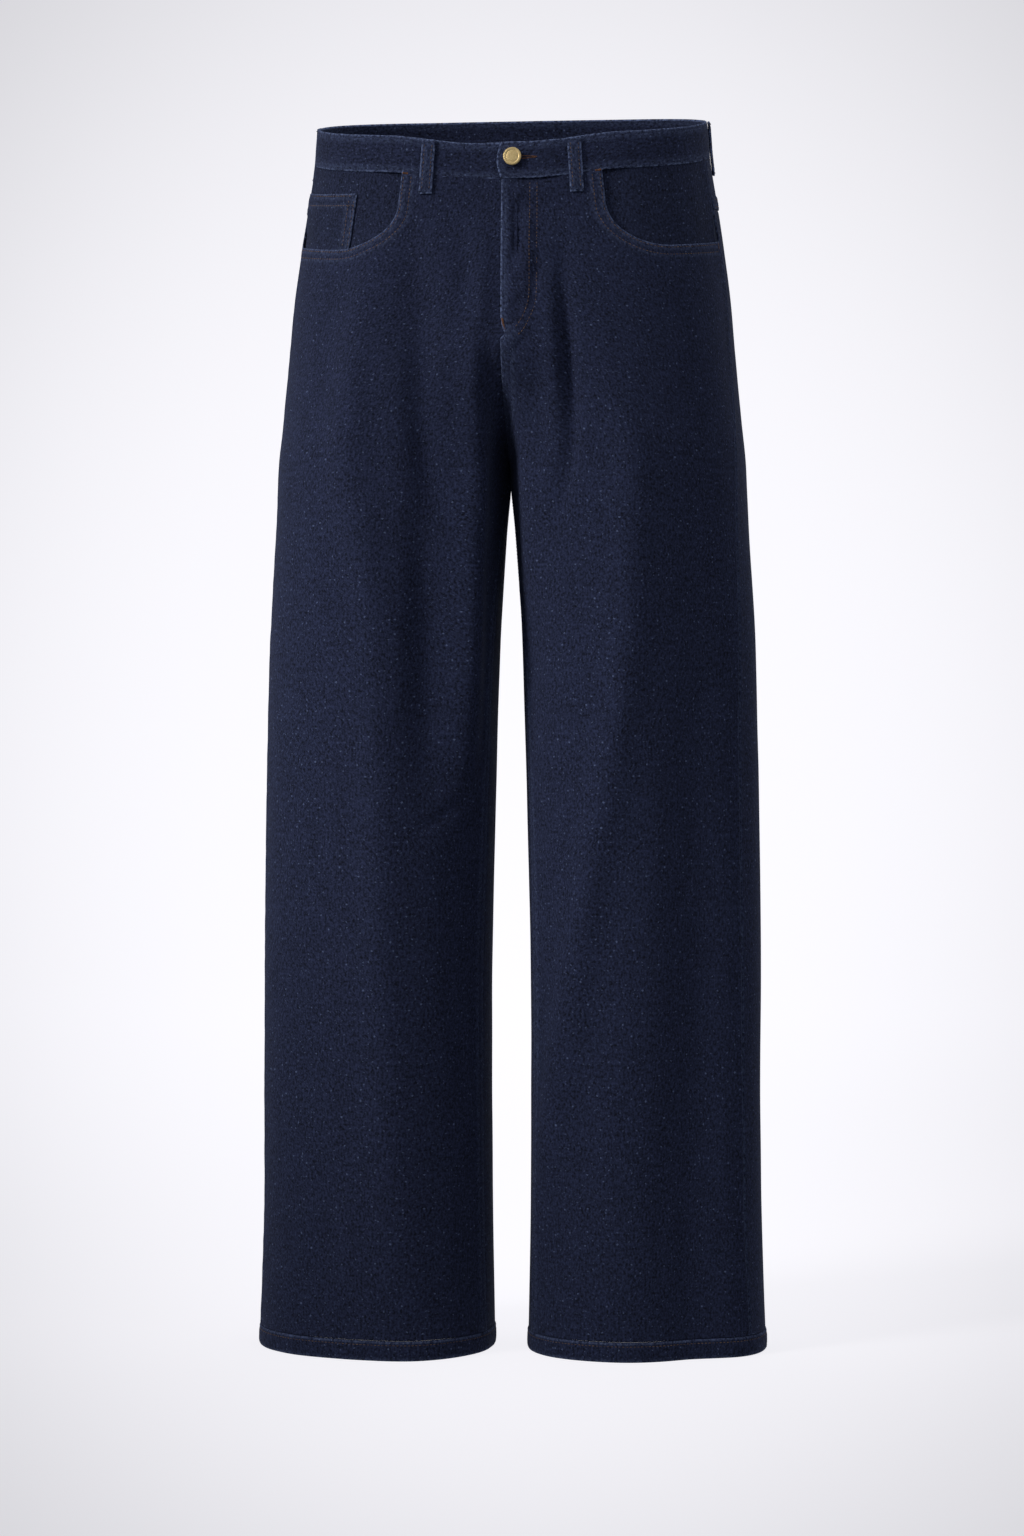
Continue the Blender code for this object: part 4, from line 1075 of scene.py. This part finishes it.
# %% Turn up the hems
HEM_SEAM = 0.0135
HEM_RIDGES = 42.0
HEM_PROFILE = (
    # out, height: round the hem's closed outline, from its outer top edge
    (-0.0002, 0.0169), (0.0005, 0.0163), (0.0009, 0.0152), (0.0008, 0.0142), (0.0005, 0.0135), (0.0008, 0.0128),
    (0.0010, 0.0112), (0.0010, 0.0085), (0.0010, 0.0058), (0.0009, 0.0034), (0.0006, 0.0016), (0.0000, 0.0004),
    (-0.0007, 0.0000), (-0.0014, 0.0004), (-0.0019, 0.0018), (-0.0021, 0.0060), (-0.0021, 0.0120), (-0.0020, 0.0160),
    (-0.0014, 0.0170),
)


def hem_rope(side, u, height):
    """The twist of a turned-up hem: slanting ridges, uneven along the leg."""
    turn = float(u_back(0.0) - u_inner(0.0))
    ridges = np.sin(2.0 * math.pi * (u / turn * HEM_RIDGES + side * height / 0.022))
    uneven = 0.4 + 0.6 * soft_noise(u, 0.0 * u, 0.05, 1.0, 61)
    return 0.00022 * ridges * uneven * smoothstep(0.0165, 0.012, height)


for name, side in SIDES.items():
    start = float(u_inner(0.0))
    around = np.linspace(start, float(u_back(0.0)), 221)[:-1]
    count, verts, flat = len(around), [], []
    for out, height in HEM_PROFILE:
        twist = hem_rope(side, around, height) * (out > 0.0)
        ring = lay(side, around, np.full(count, max(height, 0.0002)), out + twist)
        ring[:, 2] = height
        verts.append(ring)
        flat.append(np.column_stack([around, np.full(count, height)]))
    rows = len(HEM_PROFILE)
    faces = []
    for row in range(rows):
        for i in range(count):
            a, b = row * count + i, row * count + (i + 1) % count
            c, d = (row + 1) % rows * count + (i + 1) % count, (row + 1) % rows * count + i
            faces.append((a, d, c, b) if side > 0 else (a, b, c, d))
    made = make_piece(f"hem_fold_{name}", np.concatenate(verts), faces, denim_face)
    height = np.concatenate(flat)[:, 1]
    out = np.repeat([row[0] for row in HEM_PROFILE], count)
    worn = 0.75 * bell(height / 0.0016)
    worn += 0.45 * bell((height - 0.0160) / 0.0010) * (out > 0.0)
    store(made, np.concatenate(flat), worn)
    path = np.column_stack([np.append(around, around[0] + 0.0001), np.full(count + 1, HEM_SEAM)])
    sew("tan", on_body(side), path[:-1], 0.0005)
print("stitch lines:", {name: len(rows) for name, rows in seams.items()})

# %% [markdown]
# ## Button, buttonhole and label
#
# A jeans button is a shank button: a turned cap crimped on a post. Its face is plain here, but for the
# turned ring that such caps have. A profile turned round an axis gives it, closed at both poles. The
# buttonhole is a slit edged with dense thread, and the label inside the back is a plain woven tape.

# %% Turn the button
BUTTON_AT = (0.0096, 0.018)
BUTTON_SIDES = 64
BUTTON_PROFILE = (
    # radius, height above the band
    (0.0000, 0.00440), (0.0012, 0.00440), (0.0024, 0.00439), (0.0036, 0.00437), (0.0043, 0.00431), (0.0047, 0.00412),
    (0.0051, 0.00404), (0.0055, 0.00414), (0.0059, 0.00438), (0.0063, 0.00445), (0.0068, 0.00438), (0.0072, 0.00418),
    (0.0075, 0.00385), (0.0076, 0.00350), (0.0075, 0.00305), (0.0071, 0.00270), (0.0050, 0.00235), (0.0037, 0.00220),
    (0.0036, 0.00120), (0.0036, 0.0), (0.0, 0.0),
)


def axes_at(place, u, level):
    """A point on a piece and three directions there: along, up and out."""
    here, out = place(u, level, 0.0), place(u, level, 0.001)
    facing = Vector(out - here).normalized()
    along = Vector(place(u + 0.001, level, 0.0) - here).normalized()
    along = (along - facing * along.dot(facing)).normalized()
    return Vector(here), along, facing.cross(along), facing


seat, along, up_way, facing = axes_at(on_band, *BUTTON_AT)
verts, faces = [], []
turns = np.linspace(0.0, 2.0 * math.pi, BUTTON_SIDES, endpoint=False)
spokes = [along * math.cos(a) + up_way * math.sin(a) for a in turns]
for radius, height in BUTTON_PROFILE[1:-1]:
    verts += [seat + facing * (height + SEAM_GAP) + radius * spoke for spoke in spokes]
top, low = len(verts), len(verts) + 1
verts += [seat + facing * (BUTTON_PROFILE[0][1] + SEAM_GAP), seat + facing * SEAM_GAP]
last = (len(BUTTON_PROFILE) - 3) * BUTTON_SIDES
for i in range(BUTTON_SIDES):
    j = (i + 1) % BUTTON_SIDES
    faces += [(top, i, j), (low, last + j, last + i)]
    for row in range(0, last, BUTTON_SIDES):
        faces.append((row + i, row + BUTTON_SIDES + i, row + BUTTON_SIDES + j, row + j))
make_piece("shank_button", verts, faces, brass)

# %% Sew the buttonhole and the label
HOLE_START, HOLE_END = 0.0150, 0.0290
t = np.linspace(0.0, 1.0, 24)
for way in (+1, -1):
    across = way * (0.0013 - 0.0009 * t)
    sew("hole", on_band, np.column_stack([HOLE_START + (HOLE_END - HOLE_START) * t, BUTTON_AT[1] + across]), 0.0002)
sew("hole", on_band, [(HOLE_END - 0.0012, BUTTON_AT[1]), (HOLE_END + 0.0010, BUTTON_AT[1])], 0.0003)

LABEL_LEFT, LABEL_RIGHT = 2.0 * HALF_WAIST - 0.0300, 2.0 * HALF_WAIST - 0.0190
label_parts = polyline([(LABEL_LEFT, 0.003), (LABEL_RIGHT, 0.003), (LABEL_RIGHT, 0.023), (LABEL_LEFT, 0.023)],
                       (FOLDED,) * 4, 0.001)


def on_label(along, height, out=0.0):
    """The label lies inside the band."""
    return on_band(along, height, -BAND - SEAM_GAP + 0.2 * np.asarray(out))


cut("woven_label", np.concatenate(label_parts), on_label, (tape,), 0.0010, grid=0.0015,
    rows=(0.0004, 0.0009, 0.0015))

# %% Tacks
for side in SIDES.values():
    place, top = on_front(side), waist_edge(POCKET_START, POCKET_START)[0]
    sew("copper", place, [(top[0] - 0.0010, top[1] - 0.0030), (top[0] - 0.0055, top[1] - 0.0035)], 0.0006)
    low = float(u_outseam(side, POCKET_LEVEL))
    sew("copper", place, [(low - 0.0045, POCKET_LEVEL - 0.0015), (low - 0.0045, POCKET_LEVEL - 0.0065)], 0.0007)
place = on_front(+1)
upright = [FLY_TACK + rise for rise in (0.0, 0.0060, 0.0110)]
sew("copper", place, [(float(u_inner(level)) + 0.0015, level) for level in upright], 0.0003)
level = FLY_TACK - 0.003
sew("copper", place, [(float(u_inner(level)) + s, level) for s in (0.0030, 0.0090)], 0.0003)
for side in SIDES.values():
    for across, level in (BACK_POCKET[0], BACK_POCKET[4]):
        inward = across + (0.003 if across < 0.0 else -0.003)
        sew("copper", on_back_pocket(side), [(inward, level - 0.0010), (inward, level - 0.0090)], 0.0006)

# %% [markdown]
# ## Stitches
#
# A stitched seam is one small stitch repeated thousands of times along a line, which is work for Geometry
# Nodes. The tree turns each line into a curve, puts a point on it every stitch, and stands one short
# thread on each point, turned along the line and flat on the cloth. A tack is the same thing with the
# thread turned across the line and the points close together. The tree runs once for each kind of
# sewing: tan topstitching, blue seams, copper tacks and the buttonhole. Thread at its real 0.5 mm would
# vanish at this size, so it is drawn a little thicker.

# %% The stitching tree
def stitching_tree():
    """One short thread on each step of every line, laid flat on the cloth."""
    tree = bpy.data.node_groups.new("stitching", "GeometryNodeTree")
    face = tree.interface
    face.new_socket("Lines", in_out="INPUT", socket_type="NodeSocketGeometry")
    sizes = {"Pitch": 0.0032, "Length": 0.0024, "Width": 0.0008, "Height": 0.0006, "Unevenness": 0.1}
    for name, value in sizes.items():
        face.new_socket(name, in_out="INPUT", socket_type="NodeSocketFloat").default_value = value
    face.new_socket("Seed", in_out="INPUT", socket_type="NodeSocketInt").default_value = 7
    face.new_socket("Thread", in_out="INPUT", socket_type="NodeSocketMaterial")
    face.new_socket("Stitches", in_out="OUTPUT", socket_type="NodeSocketGeometry")
    given = add(tree, "NodeGroupInput").outputs
    curve = add(tree, "GeometryNodeMeshToCurve", {"Mesh": given["Lines"]})
    walk = add(tree, "GeometryNodeResampleCurve",
               {"Curve": curve.outputs[0], "Length": given["Pitch"]}, mode="LENGTH")
    tangent = add(tree, "GeometryNodeInputTangent")
    facing = add(tree, "GeometryNodeInputNamedAttribute", {"Name": "facing"}, data_type="FLOAT_VECTOR")
    turn = add(tree, "FunctionNodeAlignRotationToVector", {"Vector": tangent.outputs[0]}, axis="X")
    flat = add(tree, "FunctionNodeAlignRotationToVector",
               {"Rotation": turn.outputs[0], "Vector": facing.outputs[0]}, axis="Z", pivot_axis="X")
    ball = add(tree, "GeometryNodeMeshUVSphere", {"Segments": 6, "Rings": 4, "Radius": 0.5})
    size = add(tree, "ShaderNodeCombineXYZ", {"X": given["Length"], "Y": given["Width"], "Z": given["Height"]})
    strand = add(tree, "GeometryNodeTransform", {"Geometry": ball.outputs[0], "Scale": size.outputs[0]})
    least, most = (maths(tree, way, 1.0, given["Unevenness"]) for way in ("SUBTRACT", "ADD"))
    uneven = add(tree, "FunctionNodeRandomValue", {2: least, 3: most, "Seed": given["Seed"]})
    stand = add(tree, "GeometryNodeInstanceOnPoints",
                {"Points": walk.outputs[0], "Instance": strand.outputs[0],
                 "Rotation": flat.outputs[0], "Scale": uneven.outputs[1]})
    real = add(tree, "GeometryNodeRealizeInstances", {"Geometry": stand.outputs[0]})
    painted = add(tree, "GeometryNodeSetMaterial", {"Geometry": real.outputs[0], "Material": given["Thread"]})
    add(tree, "NodeGroupOutput", {"Stitches": painted.outputs[0]})
    return tree


STITCHING = stitching_tree()


def stitch(name, lines, thread, seed, pitch, length, width, height):
    """Run the tree over lines of points and keep the result as a plain mesh."""
    verts = np.concatenate([points for points, _ in lines])
    ends = np.cumsum([len(points) for points, _ in lines])
    links = [(i, i + 1) for i in range(len(verts) - 1) if i + 1 not in set(ends)]
    mesh = bpy.data.meshes.new(name + "_lines")
    mesh.from_pydata([tuple(vert) for vert in verts], links, [])
    facing = np.concatenate([way / np.linalg.norm(way, axis=1)[:, None] for _, way in lines])
    kept = mesh.attributes.new("facing", "FLOAT_VECTOR", "POINT")
    kept.data.foreach_set("vector", facing.astype(np.float32).ravel())
    carrier = bpy.data.objects.new(name + "_lines", mesh)
    bpy.context.scene.collection.objects.link(carrier)
    modifier = carrier.modifiers.new("Stitching", "NODES")
    modifier.node_group = STITCHING
    sizes = {"Pitch": pitch, "Length": length, "Width": width, "Height": height, "Seed": seed, "Thread": thread}
    for socket in STITCHING.interface.items_tree:
        if socket.in_out == "INPUT" and socket.name in sizes:
            modifier[socket.identifier] = sizes[socket.name]
    evaluated = carrier.evaluated_get(bpy.context.evaluated_depsgraph_get())
    done = bpy.data.meshes.new_from_object(evaluated)
    done.name = name
    done.shade_smooth()
    made = bpy.data.objects.new(name, done)
    bpy.context.scene.collection.objects.link(made)
    bpy.data.objects.remove(carrier)
    pieces[name] = made
    print(name, len(done.polygons), "faces")


stitch("stitches_tan", seams["tan"], thread_tan, 3, 0.0032, 0.0025, 0.0008, 0.0007)
stitch("stitches_blue", seams["blue"], thread_blue, 5, 0.0032, 0.0025, 0.0008, 0.0007)
stitch("stitches_tack", seams["copper"], thread_copper, 9, 0.0005, 0.0006, 0.0020, 0.0008)
stitch("stitches_buttonhole", seams["hole"], thread_copper, 11, 0.0004, 0.0005, 0.0009, 0.0006)

# %% [markdown]
# ## Riding, replacing and measuring
#
# Every piece rides on the model's one body and stands for the solid that it was made from. The size of
# each sheet's cut is measured here on its flat outline and printed.

# %% Attach the pieces and measure their cuts
STANDS_FOR = {
    "front_panel_left": "front_left", "front_panel_right": "front_right", "back_panel_left": "back_left",
    "back_panel_right": "back_right", "yoke_panel_left": "yoke_left", "yoke_panel_right": "yoke_right",
    "pocket_facing_left": "pocket_bearer_left", "pocket_facing_right": "pocket_bearer_right",
    "coin_pocket_patch": "coin_pocket", "back_pocket_patch_left": "back_pocket_left",
    "back_pocket_patch_right": "back_pocket_right", "waistband_strip": "waistband", "hem_fold_left": "hem_left",
    "hem_fold_right": "hem_right", "belt_loop_strip_front_left": "belt_loop_front_left",
    "belt_loop_strip_front_right": "belt_loop_front_right", "belt_loop_strip_side_left": "belt_loop_side_left",
    "belt_loop_strip_side_right": "belt_loop_side_right", "belt_loop_strip_back": "belt_loop_back",
    "shank_button": "button", "woven_label": "waist_label",
}


def flat_size(made):
    """Width, length and area of a piece's cut, from its UV map and its faces before the wall."""
    mesh = made.data
    uv = np.empty(len(mesh.loops) * 2, dtype=np.float32)
    mesh.uv_layers["cloth"].data.foreach_get("uv", uv)
    uv = uv.reshape(-1, 2)
    one, other = uv[1::3] - uv[0::3], uv[2::3] - uv[0::3]
    area = 0.5 * np.abs(one[:, 0] * other[:, 1] - other[:, 0] * one[:, 1]).sum()
    size = uv.max(axis=0) - uv.min(axis=0)
    return (round(float(size[0]), 4), round(float(size[1]), 4)), round(float(area), 5)


for name, made in pieces.items():
    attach(made, "root")
    if name in STANDS_FOR:
        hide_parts(STANDS_FOR[name])
for name, made in pieces.items():
    if name.startswith(("stitches", "shank", "hem_fold")):
        continue
    flat, area = flat_size(made)
    share = area / (flat[0] * flat[1])
    print(name, flat, area, round(share, 2))
HEM_CUT = (round(float(u_back(0.0) - u_inner(0.0)), 4), 3.0 * HEM_HEIGHT)

# %% [markdown]
# ## Stage, light and camera
#
# The stage is a wide pale bowl, so that there is no horizon from any side. It glows, most of all round the
# line of sight, and also takes light, which leaves the soft shadows at the hems. One large soft light
# stands on the viewer's left, so that the parts turned that way are bright and the rest falls into
# shade. The sky adds a little light from above, and a little more from behind for the back views.

# %% Build the stage
FLOOR_RADIUS, SWEEP_RADIUS, WALL_TOP = 4.0, 2.0, 7.0
STAGE_SIDES = 96
profile = [(FLOOR_RADIUS * i / 8.0, 0.0) for i in range(1, 9)]
for i in range(1, 17):
    a = math.pi / 2.0 * i / 16.0
    profile.append((FLOOR_RADIUS + SWEEP_RADIUS * math.sin(a), SWEEP_RADIUS * (1.0 - math.cos(a))))
profile.append((FLOOR_RADIUS + SWEEP_RADIUS, WALL_TOP))
turns = np.linspace(0.0, 2.0 * math.pi, STAGE_SIDES, endpoint=False)
verts = [(r * math.cos(a), r * math.sin(a), z) for r, z in profile for a in turns] + [(0.0, 0.0, 0.0)]
faces = [(len(verts) - 1, i, (i + 1) % STAGE_SIDES) for i in range(STAGE_SIDES)]
for row in range(len(profile) - 1):
    for i in range(STAGE_SIDES):
        a, b = row * STAGE_SIDES + i, row * STAGE_SIDES + (i + 1) % STAGE_SIDES
        faces.append((a, a + STAGE_SIDES, b + STAGE_SIDES, b))

# %% The paper and its pool of light
POOL_PLACE = (-0.235, 2.70, -0.50)
POOL_TURN = 0.0875
POOL_RISE = 0.016
POOL_SPREAD = (0.158, 0.196)
POOL_FADE = 0.2
POOL_POWER = 1.8
POOL_GLOW = (0.95, 0.52)
# Seamless matt paper. Its pool of light behind the model is painted: the emission glows most there and less towards
# the edges.
paper, tree, shader = new_finish("studio_paper", "#f2f1f4")
place = add(tree, "ShaderNodeMapping", {"Vector": add(tree, "ShaderNodeTexCoord").outputs["Object"],
                                           "Location": POOL_PLACE}).outputs[0]
parts = add(tree, "ShaderNodeSeparateXYZ", {0: place}).outputs
ahead = maths(tree, "MAXIMUM", parts[1], 0.2)
aside, above = (
    maths(tree, "DIVIDE", maths(tree, way, maths(tree, "DIVIDE", part, ahead), middle), spread)
    for way, part, middle, spread in (("ADD", parts[0], POOL_TURN, POOL_SPREAD[0]),
                                      ("SUBTRACT", parts[2], POOL_RISE, POOL_SPREAD[1])))
away = maths(tree, "ADD", maths(tree, "MULTIPLY", aside, aside), maths(tree, "MULTIPLY", above, above))
nearness = maths(tree, "POWER", math.exp(-POOL_FADE), maths(tree, "POWER", away, POOL_POWER))
glow = shift(tree, nearness, 0.0, 1.0, POOL_GLOW[1], POOL_GLOW[0])
feed(tree, shader, {"Base Color": linear("#8a898c"), "Roughness": 1.0, "Specular IOR Level": 0.0,
                    "Emission Color": linear("#fbfaff"), "Emission Strength": glow})
floor = make_piece("floor", verts, faces, paper)
pieces.pop("floor")
floor.visible_diffuse = False
floor.visible_glossy = False
print("stage:", len(floor.data.polygons), "faces")


# %% Lights
LIGHT_SIZE = 0.9


def soft_light(name, place, target, power, tint, spread):
    """A square area light aimed at a point, its beam spread degrees wide."""
    lamp = bpy.data.lights.new(name, "AREA")
    lamp.shape, lamp.size, lamp.size_y, lamp.energy, lamp.color = "RECTANGLE", LIGHT_SIZE, LIGHT_SIZE, power, tint
    lamp.spread = math.radians(spread)
    made = bpy.data.objects.new(name, lamp)
    made.location = place
    made.rotation_euler = (Vector(target) - Vector(place)).to_track_quat("-Z", "Y").to_euler()
    bpy.context.scene.collection.objects.link(made)


soft_light("key", (-2.05, -1.60, 1.70), (0.0, 0.0, 0.58), 2.0, (1.0, 0.985, 0.96), 29.0)
soft_light("fill", (1.60, -1.60, 1.90), (0.05, 0.0, 0.82), 0.24, (0.96, 0.98, 1.0), 44.0)
world = bpy.data.worlds.new("studio")
world.use_nodes = True
sky = world.node_tree
generated = add(sky, "ShaderNodeTexCoord").outputs["Generated"]
direction = add(sky, "ShaderNodeSeparateXYZ", {0: generated}).outputs
from_above = shift(sky, direction[2], -0.6, 0.7, 0.13, 0.35)
from_behind = shift(sky, direction[1], 0.1, 1.0, 0.0, 0.5)
feed(sky, sky.nodes["Background"], {"Strength": maths(sky, "ADD", from_above, from_behind),
                                    "Color": (0.93, 0.95, 1.0, 1.0)})
bpy.context.scene.world = world

# %% Camera
AZIMUTH = math.radians(5.0)
DISTANCE = 2.7
EYE_HEIGHT = 0.50
lens = bpy.data.cameras.new("camera")
lens.lens = 72.8
camera = bpy.data.objects.new("camera", lens)
aim = Vector((0.0, -MIDDLE_Y, EYE_HEIGHT))
camera.location = aim + Vector((DISTANCE * math.sin(AZIMUTH), -DISTANCE * math.cos(AZIMUTH), 0.0))
camera.rotation_euler = (aim - camera.location).to_track_quat("-Z", "Y").to_euler()
bpy.context.scene.collection.objects.link(camera)
bpy.context.scene.camera = camera
bpy.context.scene.view_settings.view_transform = "Standard"
